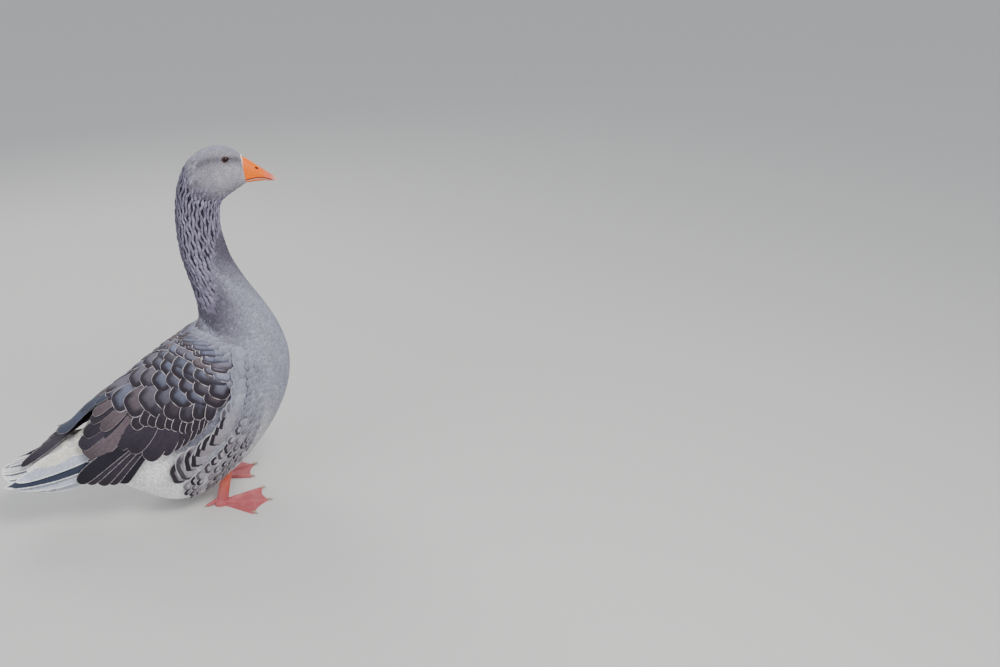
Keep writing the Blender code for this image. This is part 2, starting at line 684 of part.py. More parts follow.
def vane(name, centres, normals, width, roll, shape):
    """One feather: a thin closed blade along centres, tilted by its roll, cut alike on both faces."""
    points = []
    for share, part in shape:
        place = share * (len(centres) - 1)
        k = min(int(place), len(centres) - 2)
        centre = centres[k].lerp(centres[k + 1], place - k)
        normal = normals[k].lerp(normals[k + 1], place - k).normalized()
        across = normal.cross(centres[k + 1] - centres[k]).normalized()
        thick = VANE_THICK * (1 - 0.3 * share) / 2
        for edge in (-part, part):
            for face in (thick, -thick):
                points.append(centre + across * edge * width / 2 + normal * (edge * roll + face))
    faces = []
    for a in range(0, len(points) - 4, 4):
        b = a + 4
        faces += [(a, a + 2, b + 2), (a, b + 2, b), (a + 1, b + 3, a + 3), (a + 1, b + 1, b + 3)]
        faces += [(a, b, b + 1), (a, b + 1, a + 1), (a + 2, a + 3, b + 3), (a + 2, b + 3, b + 2)]
    end = len(points) - 4
    faces += [(0, 1, 3), (0, 3, 2), (end, end + 2, end + 3), (end, end + 3, end + 1)]
    return add_object(name, points, faces)


def tail_frame():
    """The tail's root, the way it points, its upper side and its right."""
    root = Vector((TAIL_ROOT[0], 0, TAIL_ROOT[1]))
    level = Vector((-math.cos(TAIL_TURN), math.sin(TAIL_TURN), 0))
    along = level * math.cos(TAIL_SLOPE) - Vector((0, 0, math.sin(TAIL_SLOPE)))
    sideways = along.cross(Vector((0, 0, -1))).normalized()
    upward = along.cross(sideways)
    return root, along, upward, sideways


def rump_solid():
    """The fleshy end of the body that the tail grows from, flattening towards its end."""
    root, along, upward, sideways = tail_frame()
    back = -section_normal(0.0)
    rings = [[p + back * GAP for p in ring_at(0.0, BODY_SIDES)]]
    for reach, above, below, half in RUMP:
        centre = root + along * reach + upward * (above - below) / 2
        ring = []
        for j in range(BODY_SIDES):
            turn = 2 * math.pi * j / BODY_SIDES
            high = (above + below) / 2 * math.cos(turn)
            ring.append(centre + upward * high + sideways * half * math.sin(turn))
        rings.append(ring)
    return loft(rings, "tail", "plumage_white")


def rectrix(share):
    """One tail feather, from the left (-1) to the right (1) side of the fan."""
    root, along, upward, sideways = tail_frame()
    out = abs(share)
    start = root + along * TAIL_START + sideways * TAIL_SPREAD * share
    start += upward * (0.0018 if out < 0.01 else -0.004 * out)
    turned = along * math.cos(TAIL_FAN * share) + sideways * math.sin(TAIL_FAN * share)
    end = start + turned * (TAIL_REACH - TAIL_START) * (1 - TAIL_ROUNDING * out**2)
    end -= upward * TAIL_DROOP * out**2
    normal = (upward + sideways * 0.35 * share).normalized()
    roll = TAIL_ROLL * (share > 0) - TAIL_ROLL * (share < 0)
    return vane("rectrix", [start, end], [normal, normal], RECTRIX_WIDTH, roll, TAIL_VANE)


def tail_covert(side, share, reaches, heights, side_heights, spreads):
    """One covert over or under the tail, following the rump down to the tail's plane."""
    root, along, upward, sideways = tail_frame()
    out = abs(share)
    ends = []
    for reach, middle, edge, spread in zip(reaches, heights, side_heights, spreads):
        height = middle + (edge - middle) * out**2
        ends.append(root + along * reach + upward * side * height + sideways * spread * share)
    normal = (upward * side + sideways * 0.7 * share).normalized()
    roll = side * TAIL_ROLL * share
    return vane("covert", ends, [normal, normal], TAIL_COVERT_WIDTH, roll, COVERT_VANE)


def make_tail():
    """The rump with a fan of tail feathers, and tiers of coverts over and under them."""
    tail = rump_solid()
    vanes = [rectrix(2 * i / (TAIL_FEATHERS - 1) - 1) for i in range(TAIL_FEATHERS)]
    for side, count, *places in TAIL_COVERTS:
        vanes += [tail_covert(side, 2 * i / (count - 1) - 1, *places) for i in range(count)]
    boolean(tail, vanes, "UNION", "MANIFOLD")
    return tail


def name_side(side):
    """The name of a side: -1 is the bird's right, and 1 its left."""
    return "right" if side < 0 else "left"


def wing_first_column(t):
    """The uppermost line of the torso's grid that the wing covers at a station."""
    return max(0, round((t - 5.5) * 1.6))


def on_side(point, side):
    """A point of the right side, or its mirror image on the left."""
    return Vector((point.x, point.y if side < 0 else -point.y, point.z))


def wing_edge(i, k, first, last):
    """How near a place of the slab's grid is to its edge: 0 there, and 1 well inside."""
    upper = 1.0 if first == 0 else between(-0.8, 1.6, k - first)
    lower = between(-1.2, 2.0, WING_COLUMNS - k)
    return min(upper, lower, between(-0.5, 2.2, i), between(-0.6, 2.0, last - i))


def wing_base(name, side):
    """The folded arm and its flesh and down, from the torso's own grid out to the dressed surface."""
    last = round((WING_END - WING_START) * BODY_RINGS)
    steps = [WING_START + i / BODY_RINGS for i in range(last + 1)]
    firsts = [wing_first_column(t) for t in steps]
    cells = [
        (i, k)
        for i in range(last)
        for k in range(max(firsts[i], firsts[i + 1]), WING_COLUMNS)
    ]
    used = sorted({(i + a, k + b) for i, k in cells for a in (0, 1) for b in (0, 1)})
    points, index = [], {}
    for i, k in used:
        t, turn = steps[i], 2 * math.pi * k / BODY_SIDES
        inner = section_point(t, turn, -WING_CLEAR)
        outwards = section_point(t + ENDS, turn, 0.0, DRESSED) - inner
        depth = max(WING_EDGE, outwards.length * wing_edge(i, k, firsts[i], last))
        for face, point in enumerate((inner + outwards.normalized() * depth, inner)):
            if k == 0:
                point.y = -0.7 * GAP
            index[i, k, face] = len(points)
            points.append(on_side(point, side))
    faces, edges = [], {}
    for i, k in cells:
        corners = [(i, k), (i, k + 1), (i + 1, k + 1), (i + 1, k)]
        for face in (0, 1):
            a, b, c, d = (index[(*corner, face)] for corner in corners)
            faces += [(a, b, c), (a, c, d)]
        for a, b in zip(corners, corners[1:] + corners[:1]):
            key = tuple(sorted((a, b)))
            edges[key] = edges.get(key, 0) + 1
    for (a, b), times in edges.items():
        if times == 1:
            a0, a1, b0, b1 = index[(*a, 0)], index[(*a, 1)], index[(*b, 0)], index[(*b, 1)]
            faces += [(a0, b0, b1), (a0, b1, a1)]
    return add_object(name, points, faces, "plumage_brown")


def dressed_place(t, turn, lift, side):
    """A place over the dressed body, and the way that its surface faces there."""
    here = section_point(t + ENDS, turn, -lift, DRESSED)
    along = section_point(t + ENDS + 0.02, turn, -lift, DRESSED) - here
    across = section_point(t + ENDS, turn + 0.02, -lift, DRESSED) - here
    return on_side(here, side), on_side(along.cross(across).normalized(), side)


def wing_vane(name, root, tip, side, width, shape, steps=4):
    """A feather between two places on the dressed body, from under its surface to over it."""
    centres, normals = [], []
    for i in range(steps + 1):
        u = i / steps
        t, turn = (a + (b - a) * u for a, b in zip(root, tip))
        centre, normal = dressed_place(t, turn, -VANE_SINK + (VANE_LIFT + VANE_SINK) * u, side)
        centres.append(centre)
        normals.append(normal)
    return vane(name, centres, normals, width, -side * VANE_ROLL, shape)


def along_line(points, share):
    """A place on a line of places, at a share of its length in steps."""
    place = share * (len(points) - 1)
    i = min(int(place), len(points) - 2)
    u = place - i
    return tuple(a + (b - a) * u for a, b in zip(points[i], points[i + 1]))


def primary(share, side, steps=4):
    """One of the long outer feathers, which leave the body's surface at their bend."""
    name = name_side(side)
    root, normal = dressed_place(*along_line(PRIMARY_ROOT, share), -VANE_SINK, side)
    bend, _ = dressed_place(*along_line(PRIMARY_BEND[name], share), PRIMARY_LIFT[name], side)
    tip = Vector(along_line(PRIMARY_TIPS[name], share))
    centres, normals = [], []
    for i in range(steps + 1):
        u = i / steps
        centres.append(root * (1 - u) ** 2 + bend * 2 * u * (1 - u) + tip * u * u)
        normals.append(normal.lerp(Vector(PRIMARY_FACING[name]).normalized(), u).normalized())
    return vane("primary", centres, normals, PRIMARY_WIDTH, -side * VANE_ROLL, LONG_VANE)


def make_wing(side):
    """The folded arm with its tiers of feathers, from the primaries up to the scapulars."""
    wing = wing_base("wing_" + name_side(side), side)
    vanes = [primary(i / (PRIMARY_COUNT - 1), side) for i in range(PRIMARY_COUNT)]
    for name, line, back, count, width, shape in wing_tiers(name_side(side)):
        for i in range(count):
            tip = along_line(line, i / (count - 1))
            root = (tip[0] + back[0], max(LEAST_TURN, tip[1] + back[1]))
            vanes.append(wing_vane(name, root, tip, side, width, shape))
    boolean(wing, vanes, "UNION", "MANIFOLD")
    return wing


def stand_over_origin(nodes):
    """Hangs every node on one empty, which sets the middle of the box over the origin."""
    bpy.context.view_layer.update()
    points = np.array([v.co for node in nodes for v in node.data.vertices])
    low, high = points.min(0), points.max(0)
    empty = bpy.data.objects.new("goose", None)
    bpy.context.scene.collection.objects.link(empty)
    empty.location = (-(low[0] + high[0]) / 2, -(low[1] + high[1]) / 2, -low[2])
    for node in nodes:
        node.parent = empty


def main():
    for thing in list(bpy.data.objects):
        bpy.data.objects.remove(thing)
    nodes = [make_torso(), *make_neck(), *make_head(), *make_bill(), make_tail()]
    for side in (-1, 1):
        nodes.append(make_wing(side))
        nodes.append(leg_solid("leg_" + name_side(side), side, finish="leg_pink"))
        nodes += make_foot("foot_" + name_side(side), side)
    for node in nodes:
        shade(node)
    stand_over_origin(nodes)


main()
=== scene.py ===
"""The looks of a life-size Toulouse goose: its skin, feathers, bill, eyes and feet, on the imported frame.

Metres, +Z up, +X forward, +Y the bird's left. A place on the bird is (t, turn): t counts the sections
from the rump, 0, to the bill, 23, and turn goes round the section: 0 on the back, positive on the
bird's right, negative on its left and half a turn on the belly.
"""

import math

import bpy
import numpy as np
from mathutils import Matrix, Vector


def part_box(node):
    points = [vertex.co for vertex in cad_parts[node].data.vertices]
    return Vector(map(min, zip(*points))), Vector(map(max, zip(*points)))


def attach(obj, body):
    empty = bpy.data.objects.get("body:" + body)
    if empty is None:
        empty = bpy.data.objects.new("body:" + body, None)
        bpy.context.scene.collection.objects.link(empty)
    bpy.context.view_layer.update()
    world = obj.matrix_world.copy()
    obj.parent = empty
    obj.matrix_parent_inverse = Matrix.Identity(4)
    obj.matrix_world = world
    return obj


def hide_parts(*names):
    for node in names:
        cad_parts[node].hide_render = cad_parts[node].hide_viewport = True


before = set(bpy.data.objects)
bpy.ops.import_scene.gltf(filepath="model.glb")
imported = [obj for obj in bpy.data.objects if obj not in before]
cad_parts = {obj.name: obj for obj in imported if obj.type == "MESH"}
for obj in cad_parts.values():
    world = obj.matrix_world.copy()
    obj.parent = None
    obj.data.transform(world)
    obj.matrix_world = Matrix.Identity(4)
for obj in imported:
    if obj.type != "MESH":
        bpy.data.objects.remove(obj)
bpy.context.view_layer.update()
draw = np.random.default_rng(7)
# The sign of a turn on each side
SIDES = {"right": 1, "left": -1}

# Sections of the bird, as in the frame: back x and z, belly or front x and z, half width, how much
# wider the upper half is than the lower one, and the power of the outline.
STATIONS = np.array([
    (-0.285, 0.200, -0.262, 0.110, 0.052, 0.00, 1.00),
    (-0.248, 0.226, -0.222, 0.092, 0.060, 0.00, 1.00),
    (-0.198, 0.260, -0.158, 0.048, 0.086, 0.02, 0.95),
    (-0.146, 0.298, -0.090, 0.016, 0.106, 0.02, 0.92),
    (-0.096, 0.338, -0.020, 0.030, 0.117, 0.04, 0.90),
    (-0.052, 0.372, 0.048, 0.078, 0.120, 0.06, 0.90),
    (-0.018, 0.400, 0.104, 0.134, 0.117, 0.05, 0.92),
    (0.003, 0.423, 0.152, 0.200, 0.108, 0.02, 0.95),
    (0.012, 0.444, 0.184, 0.270, 0.097, -0.02, 1.00),
    (0.015, 0.466, 0.193, 0.340, 0.083, -0.06, 1.00),
    (0.014, 0.492, 0.180, 0.404, 0.069, -0.08, 1.00),
    (0.010, 0.524, 0.153, 0.466, 0.056, -0.06, 1.00),
    (0.003, 0.562, 0.121, 0.524, 0.047, -0.03, 1.00),
    (-0.002, 0.602, 0.097, 0.579, 0.041, 0.00, 1.00),
    (-0.003, 0.642, 0.087, 0.626, 0.0385, 0.00, 1.00),
    (0.000, 0.682, 0.085, 0.667, 0.037, 0.00, 1.00),
    (0.006, 0.716, 0.090, 0.697, 0.0360, 0.00, 1.00),
    (0.016, 0.750, 0.103, 0.712, 0.0355, 0.00, 1.00),
    (0.034, 0.784, 0.116, 0.720, 0.0350, -0.02, 1.00),
    (0.058, 0.806, 0.127, 0.726, 0.0335, -0.04, 0.98),
    (0.083, 0.816, 0.136, 0.731, 0.0310, -0.08, 0.95),
    (0.108, 0.8165, 0.142, 0.734, 0.0272, -0.10, 0.92),
    (0.129, 0.8075, 0.1455, 0.736, 0.0228, -0.10, 0.86),
    (0.1435, 0.7950, 0.1470, 0.7375, 0.0188, -0.08, 0.78),
])
BILL_BASE = len(STATIONS) - 1
# What the folded wings add: how much higher the back is, and how much wider the bird
WING_BULK = np.array([
    (0.032, 0.018), (0.038, 0.020), (0.036, 0.014), (0.031, 0.012), (0.024, 0.011),
    (0.017, 0.010), (0.012, 0.009), (0.007, 0.006), (0.003, 0.003),
])
WING_ENDS = np.array([
    (-0.404, 0.188, -0.376, 0.080, 0.070, 0.0, 1.0),
    (-0.346, 0.216, -0.320, 0.100, 0.074, 0.0, 1.0),
])
ENDS = len(WING_ENDS)

# The tail's plane, and the fleshy end of the body that it grows from
TAIL_SLOPE, TAIL_TURN = math.radians(9), math.radians(4)
TAIL_ROOT = (-0.2770, 0.0, 0.1700)
RUMP = [(0.021, 0.031, 0.058, 0.058), (0.044, 0.022, 0.049, 0.056), (0.068, 0.009, 0.033, 0.046)]

# The bill, back to front: x, the height of its top and of its lower edge, and its half width
UPPER_BILL = np.array([
    (0.1470, 0.7942, 0.7470, 0.0172),
    (0.1600, 0.7832, 0.7484, 0.0160),
    (0.1720, 0.7728, 0.7488, 0.0141),
    (0.1840, 0.7626, 0.7470, 0.0122),
    (0.1985, 0.7512, 0.7412, 0.0104),
])
LOWER_BILL = np.array([
    (0.1470, 0.7463, 0.7378, 0.0148),
    (0.1600, 0.7477, 0.7380, 0.0138),
    (0.1720, 0.7481, 0.7384, 0.0121),
    (0.1840, 0.7463, 0.7384, 0.0101),
    (0.1985, 0.7405, 0.7368, 0.0076),
    (0.2030, 0.7385, 0.7366, 0.0045),
])
NAIL = np.array([
    (0.1985, 0.7512, 0.7412, 0.0104),
    (0.2040, 0.7478, 0.7392, 0.0090),
    (0.2080, 0.7438, 0.7374, 0.0062),
    (0.2098, 0.7405, 0.7370, 0.0030),
])
NAIL_GAP = 0.0001
# A nostril: the x and the height of its middle, its slope, half its length and height, how deep it is,
# half the length and height of the rim round it, and how far that stands out
NOSTRIL_X, NOSTRIL_HEIGHT, NOSTRIL_SLOPE = 0.1715, 0.7672, math.radians(35)
PIT, PIT_DEPTH = (0.0040, 0.0017), 0.0026
PIT_RIM, PIT_RIM_HEIGHT = (0.0058, 0.0031), 0.0003
# The fine ridges along the bill's edge: from one to the next, how high up they reach, how deep they are
LAMELLA, LAMELLA_HEIGHT, LAMELLA_DEPTH = 0.0018, 0.0011, 0.030

# Eyes and legs
EYE_RADIUS = 0.0068
PUPIL_BLACK = (0.004, 0.003, 0.003)
EYE_AXIS = (0.17, 0.97, 0.14)
EYE_LEVEL = np.array([1.0, 0, -0.12])
EYE_SIDES = 48
# How far round the middle of an eye no feathers grow
BARE_RADIUS = 0.0092
LID_LENGTH, LID_HEIGHT, LID_ROLL = 0.0069, 0.0056, 0.0011
# The dark stripe through the eye, as turns at places t
EYE_STRIPE = [(17.6, 0.72), (18.7, 0.84), (20.4, 1.14), (21.6, 1.10), (22.8, 0.86)]
# The left hock and ankle, and how far the left foot stands ahead of the middle of both feet
HOCK = (0.024, 0.050, 0.128)
ANKLE = (-0.010, 0.056, 0.0)
STRIDE = -0.010
# The shank from the floor up: height, half depth and half width
SHANK = [
    (0.003, 0.0138, 0.0108), (0.012, 0.0134, 0.0102), (0.021, 0.0128, 0.0096), (0.030, 0.0126, 0.0093),
    (0.058, 0.0124, 0.0088), (0.096, 0.0136, 0.0100), (0.128, 0.0138, 0.0110),
]
# Toes: degrees inwards from straight ahead, and length
TOES = {"inner": (16, 0.098), "middle": (-13, 0.108), "outer": (-43, 0.094)}
HIND_TOE = (-172, 0.034)
WEB, TOE_HEIGHT, TOE_WIDTH, HEEL_PAD, FOOT_TOP = 0.0016, 0.0080, 0.0052, 0.017, 0.0140
# How far the webs' edges draw back between the toes' ends, as a share
WEB_HOLLOW = 0.10
# A claw, root to tip: shares of its length, how far it rises, and shares of its half width
CLAW = np.array([(0.0, 0.0, 1.0), (0.4, 0.0002, 0.9), (0.75, -0.0006, 0.6), (1.0, -0.0018, 0.22)])
CLAW_LENGTH, CLAW_RADIUS, CLAW_HEIGHT, CLAW_SINK = 0.012, 0.0030, 0.0036, 0.003
CLAW_SCALES = {"hind": 0.75}
UPWARD = np.array([0, 0, 1.0])

# From the middle of the heels to the frame's own origin
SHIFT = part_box("bill_nail")[1].x - NAIL[-1][0]

# Neck ridges: how many go round it, and how deep the furrows between them are
RIDGES = 36
FURROW = 0.0030
# How far neighbouring ridges lean to and from each other, as a phase
RIDGE_WEAVE = 1.1

# How deep the skin lies under the feathers' surface: on the body, the neck and the head
BODY_COAT, NECK_COAT, HEAD_COAT = 0.0040, 0.0016, 0.0009


def srgb(red, green, blue):
    """A colour in the usual 0 to 255 values, as the linear light that shaders take."""
    share = np.array([red, green, blue]) / 255
    return ((share + 0.055) / 1.055) ** 2.4


PAINT = {
    "breast": srgb(150, 151, 167),
    "sheen": srgb(110, 115, 137),
    "warm": srgb(90, 77, 78),
    "flank": srgb(174, 169, 178),
    "belly": srgb(196, 194, 198),
    "white": srgb(250, 249, 250),
    "ivory": srgb(246, 239, 224),
    "mantle": srgb(112, 106, 114),
    "rump": srgb(108, 108, 120),
    "neck": srgb(88, 83, 97),
    "ridge": srgb(126, 121, 141),
    # gap is painted shadow: the colour of the dark locks laid low in the neck's furrows, and of the skin at
    # their deepest
    "gap": srgb(42, 38, 50),
    "head": srgb(142, 140, 149),
    "crown": srgb(146, 144, 160),
    "stripe": srgb(92, 86, 95),
    "cheek": srgb(160, 159, 168),
    "frost": srgb(206, 211, 226),
    "slate": srgb(60, 66, 84),
    "brown": srgb(92, 80, 85),
    "dark": srgb(52, 45, 56),
    "black": srgb(32, 28, 38),
    "cream": srgb(204, 194, 196),
    "bar": srgb(46, 39, 48),
}


def smooth(low, high, x):
    """0 below low, 1 above high, and a smooth rise between them."""
    u = np.clip((np.asarray(x, float) - low) / (high - low), 0, 1)
    return u * u * (3 - 2 * u)


def folded(turn):
    """How far round from the back a place lies, on either side: 0 on the back, pi on the belly."""
    return np.abs((np.asarray(turn, float) + np.pi) % (2 * np.pi) - np.pi)


def unit(vectors):
    """Vectors drawn out or in to a length of 1."""
    return vectors / np.maximum(np.linalg.norm(vectors, axis=-1, keepdims=True), 1e-12)


def chance(*shape):
    """Random numbers about 0 on a bell curve, at most 2 either way."""
    return draw.standard_normal(shape).clip(-2, 2)


def uneven(spread, *shape):
    """Random factors about 1, so far spread."""
    return 1 + spread * chance(*shape)


# The bird's own surfaces


def sections(t, table):
    """The rows of a table at places t, on a smooth curve through them."""
    t = np.asarray(t, float)
    i = np.clip(np.floor(t).astype(int), 0, len(table) - 2)
    u = (t - i)[..., None]
    p1, p2 = table[i], table[i + 1]
    p0 = np.where((i > 0)[..., None], table[np.maximum(i - 1, 0)], 2 * p1 - p2)
    p3 = np.where((i + 2 < len(table))[..., None], table[np.minimum(i + 2, len(table) - 1)], 2 * p2 - p1)
    square = (2 * p0 - 5 * p1 + 4 * p2 - p3) * u**2
    return 0.5 * (2 * p1 + (p2 - p0) * u + square + (3 * p1 - p0 - 3 * p2 + p3) * u**3)


def dressed_stations():
    """The sections of the body with its wings, led by those of the wings' ends."""
    body = STATIONS[: len(WING_BULK)].copy()
    up = unit(body[:, 0:2] - body[:, 2:4])
    body[:, 0:2] += up * WING_BULK[:, :1]
    body[:, 4] += WING_BULK[:, 1]
    return np.vstack([WING_ENDS, body, STATIONS[len(WING_BULK) : len(WING_BULK) + 2]])


DRESSED = dressed_stations()


def on_sections(t, turn, out, table):
    """Points at places on a table's surface, moved out of it."""
    row = sections(t, table)
    back, front = row[..., 0:2], row[..., 2:4]
    height = np.linalg.norm(back - front, axis=-1) / 2
    up = unit(back - front)
    cosine, sine = np.cos(turn), np.sin(turn)
    c = np.copysign(np.abs(cosine) ** row[..., 6], cosine)
    s = np.copysign(np.abs(sine) ** row[..., 6], sine)
    high = ((height + out) * c)[..., None] * up + (back + front) / 2
    wide = (row[..., 4] + out) * s * (1 + row[..., 5] * c)
    return np.stack([high[..., 0] + SHIFT, -wide, high[..., 1]], -1)


def tail_frame():
    """The tail's root, the way it points, its upper side and its right."""
    level = np.array([-math.cos(TAIL_TURN), math.sin(TAIL_TURN), 0])
    along = level * math.cos(TAIL_SLOPE) - np.array([0, 0, math.sin(TAIL_SLOPE)])
    sideways = unit(np.cross(along, (0, 0, -1)))
    return np.array(TAIL_ROOT) + (SHIFT, 0, 0), along, np.cross(along, sideways), sideways


def on_rump(t, turn, out):
    """Places behind the first section, t from 0 to -1, on the end that the tail grows from."""
    root, along, upward, sideways = tail_frame()
    turn = np.asarray(turn, float)
    rings = [on_sections(np.zeros_like(turn), turn, out, STATIONS)]
    for reach, above, below, half in RUMP:
        middle = root + along * reach + upward * (above - below) / 2
        high = ((above + below) / 2 + out) * np.cos(turn)
        wide = (half + out) * np.sin(turn)
        rings.append(middle + high[..., None] * upward + wide[..., None] * sideways)
    rings = np.array(rings)
    level = np.clip(-np.asarray(t, float), 0, 1) * len(RUMP)
    i = np.minimum(level.astype(int), len(RUMP) - 1)
    u = (level - i)[..., None]
    lower = np.take_along_axis(rings, i[None, ..., None], 0)[0]
    upper = np.take_along_axis(rings, i[None, ..., None] + 1, 0)[0]
    return lower * (1 - u) + upper * u


def wing_share(t, turn):
    """How much of the folded wings' bulk lies under a place, from 0 to 1."""
    around = folded(turn)
    lower = 1 - smooth(1.10, 1.50, around)
    upper = smooth(-0.25, 0.12, around - 0.314 * (t - 5.5))
    return lower * upper * smooth(0.6, 2.2, t) * (1 - smooth(6.9, 8.4, t))


def on_body(t, turn, out=0.0):
    """Points over the whole bird, from the rump to the bill, with the folded wings' bulk."""
    t, turn, out = np.broadcast_arrays(np.asarray(t, float), np.asarray(turn, float), out)
    plain = on_sections(np.maximum(t, 0), turn, out, STATIONS)
    bulk = wing_share(t, turn)[..., None]
    winged = on_sections(np.clip(t, 0, 9) + ENDS, turn, out, DRESSED)
    both = plain + bulk * (winged - plain)
    return np.where((t < 0)[..., None], on_rump(t, turn, out), both)


def on_wings(t, turn, out=0.0):
    """Points over the body dressed with its wings, from -2 at the wings' ends."""
    t, turn, out = np.broadcast_arrays(np.asarray(t, float) + ENDS, np.asarray(turn, float), out)
    return on_sections(t, turn, out, DRESSED)


def slopes(t, turn, surface):
    """How a place moves with t and with turn, and the way its surface faces."""
    step = 1e-3
    here = surface(t, turn)
    along = (surface(t + step, turn) - here) / step
    around = (surface(t, turn + step) - here) / step
    return along, around, unit(np.cross(around, along))


# The neck's ridges


def ridge_phase(t, around):
    """The phase of the neck's ridges, a whole turn of it from one ridge to the next."""
    wave = 0.8 * np.sin(9.1 * t - 6.0 * around + 1.7) + 0.7 * np.sin(5.3 * t + 4.0 * around)
    wave += 0.9 * np.sin(2.3 * t + 3.0 * around + 0.6)
    even = RIDGES * (around + 0.03 * (t - 14)) + wave
    weave = np.sin(6.6 * t + 1.3 * np.sin(3.1 * around + 1.9 * t) + 1.1 * np.sin(7.0 * around))
    return even + RIDGE_WEAVE * np.cos(even / 2) * weave


def ridge_share(t, turn):
    """How strongly the neck is furrowed at a place, from 0 to 1."""
    around = folded(turn)
    lowest = 9.0 + 4.6 * smooth(0.5, 2.6, around)
    highest = 18.4 - 1.2 * smooth(0.3, 1.4, around) + 0.8 * smooth(1.8, 2.9, around)
    return smooth(lowest - 0.4, lowest + 1.6, t) * (1 - smooth(highest - 0.7, highest + 0.5, t))


def skin_depth(t, turn):
    """How far under the feathers' surface the skin lies at a place."""
    depth = BODY_COAT + (NECK_COAT - BODY_COAT) * smooth(9.0, 12.0, t)
    depth = depth + (HEAD_COAT - NECK_COAT) * smooth(16.0, 18.0, t)
    ridge = 0.5 + 0.5 * np.cos(ridge_phase(t, folded(turn)))
    return depth + 0.003 * wing_share(t, turn) + FURROW * ridge_share(t, turn) * (1 - ridge)


# Markings


def markings(t, turn):
    """The plumage's colour at each place, the same for the skin and the coat."""
    t, around = np.broadcast_arrays(np.asarray(t, float), folded(turn))
    colour = np.empty((*t.shape, 3))
    colour[:] = PAINT["breast"]

    def lay(name, share):
        """Lays a named colour over what is there, so strongly."""
        colour[:] += np.asarray(share)[..., None] * (PAINT[name] - colour)

    lay("belly", smooth(1.6, 2.5, around) * (1 - smooth(5.6, 8.0, t)))
    lay("mantle", (1 - smooth(0.9, 1.5, around)) * smooth(2.0, 4.0, t) * (1 - smooth(7.6, 8.8, t + around)))
    lay("rump", (1 - smooth(0.8, 1.2, around)) * smooth(1.6, 2.2, t) * (1 - smooth(2.6, 3.4, t)))
    lay("white", smooth(1.10, 1.4, around) * (1 - smooth(3.2, 4.4, t - 0.4 * (around - 1.6))))
    lay("white", 1 - smooth(1.6, 2.2, t))
    lay("ivory", 0.8 * (1 - smooth(1.6, 2.2, t)) * (1 - smooth(1.2, 1.6, around)))
    hind = 1 - smooth(1.1, 2.3, around + 0.22 * (11.0 - t) * (t < 11.0))
    lay("neck", np.maximum(smooth(7.9, 9.0, t) * hind, smooth(11.0, 13.4, t - 0.2 * (np.pi - around))))
    lay("head", smooth(16.6, 18.0, t + 0.5 * smooth(1.4, 2.6, around)))
    lay("crown", smooth(17.8, 19.4, t) * (1 - smooth(0.35, 0.8, around)) * 0.9)
    lay("cheek", smooth(17.8, 18.8, t) * smooth(1.3, 1.55, around) * (1 - smooth(2.3, 2.9, around)))
    stripe = np.interp(t, *np.array(EYE_STRIPE).T)
    lay("stripe", smooth(17.6, 18.8, t) * np.exp(-(((around - stripe) / 0.19) ** 2)) * 0.8)
    cloud = np.sin(2.3 * t + 3.1 * around) * np.sin(1.7 * t - 4.3 * around + 1.0)
    cloud = cloud + np.sin(5.1 * t + 7.7 * around)
    return colour * (1 + 0.035 * cloud[..., None])


# Meshes and materials


def add_mesh(name, points, faces, colours=None, plan=None, corner_maps=None, point_maps=None):
    """A mesh object from points and arrays of faces, with attributes and UV maps."""
    mesh = bpy.data.meshes.new(name)
    points = np.asarray(points, float).reshape(-1, 3)
    faces = [np.asarray(some, int) for some in faces if len(some)]
    corners = np.concatenate([some.ravel() for some in faces])
    totals = np.concatenate([np.full(len(some), some.shape[1]) for some in faces])
    mesh.vertices.add(len(points))
    mesh.vertices.foreach_set("co", points.ravel())
    mesh.loops.add(len(corners))
    mesh.loops.foreach_set("vertex_index", corners)
    mesh.polygons.add(len(totals))
    mesh.polygons.foreach_set("loop_start", np.concatenate([[0], np.cumsum(totals)[:-1]]))
    mesh.update(calc_edges=True)
    mesh.validate()
    for label, values in (colours or {}).items():
        values = np.asarray(values, float).reshape(len(points), -1)
        if values.shape[1] == 3:
            values = np.column_stack([values, np.ones(len(points))])
        layer = mesh.attributes.new(label, "FLOAT_COLOR", "POINT")
        layer.data.foreach_set("color", values.ravel())
    if plan is not None:
        layer = mesh.attributes.new("plan", "FLOAT_VECTOR", "POINT")
        layer.data.foreach_set("vector", np.asarray(plan, float).ravel())
    for label, values in (point_maps or {}).items():
        layer = mesh.uv_layers.new(name=label)
        layer.data.foreach_set("uv", np.asarray(values, float).reshape(-1, 2)[corners].ravel())
    for label, values in (corner_maps or {}).items():
        layer = mesh.uv_layers.new(name=label)
        layer.data.foreach_set("uv", np.asarray(values, float).ravel())
    thing = bpy.data.objects.new(name, mesh)
    bpy.context.scene.collection.objects.link(thing)
    return thing


def ring_faces(rings, sides):
    """The faces between closed rings of points, and those that close their ends on two more points."""
    ids = np.arange(rings * sides).reshape(rings, sides)
    after = np.roll(ids, -1, 1)
    quads = np.stack([ids[:-1], after[:-1], after[1:], ids[1:]], -1).reshape(-1, 4)
    first, last = np.full((2, sides), [[rings * sides], [rings * sides + 1]])
    caps = np.concatenate([np.stack([after[0], ids[0], first], -1), np.stack([ids[-1], after[-1], last], -1)])
    return [quads, caps]


def ring_mesh(name, rings, ends=None, **extra):
    """A closed shape through rings of points, its ends flat or drawn out to two more points."""
    if ends is None:
        ends = [rings[0].mean(0), rings[-1].mean(0)]
    points = np.vstack([rings.reshape(-1, 3), ends])
    return add_mesh(name, points, ring_faces(*rings.shape[:2]), **extra)


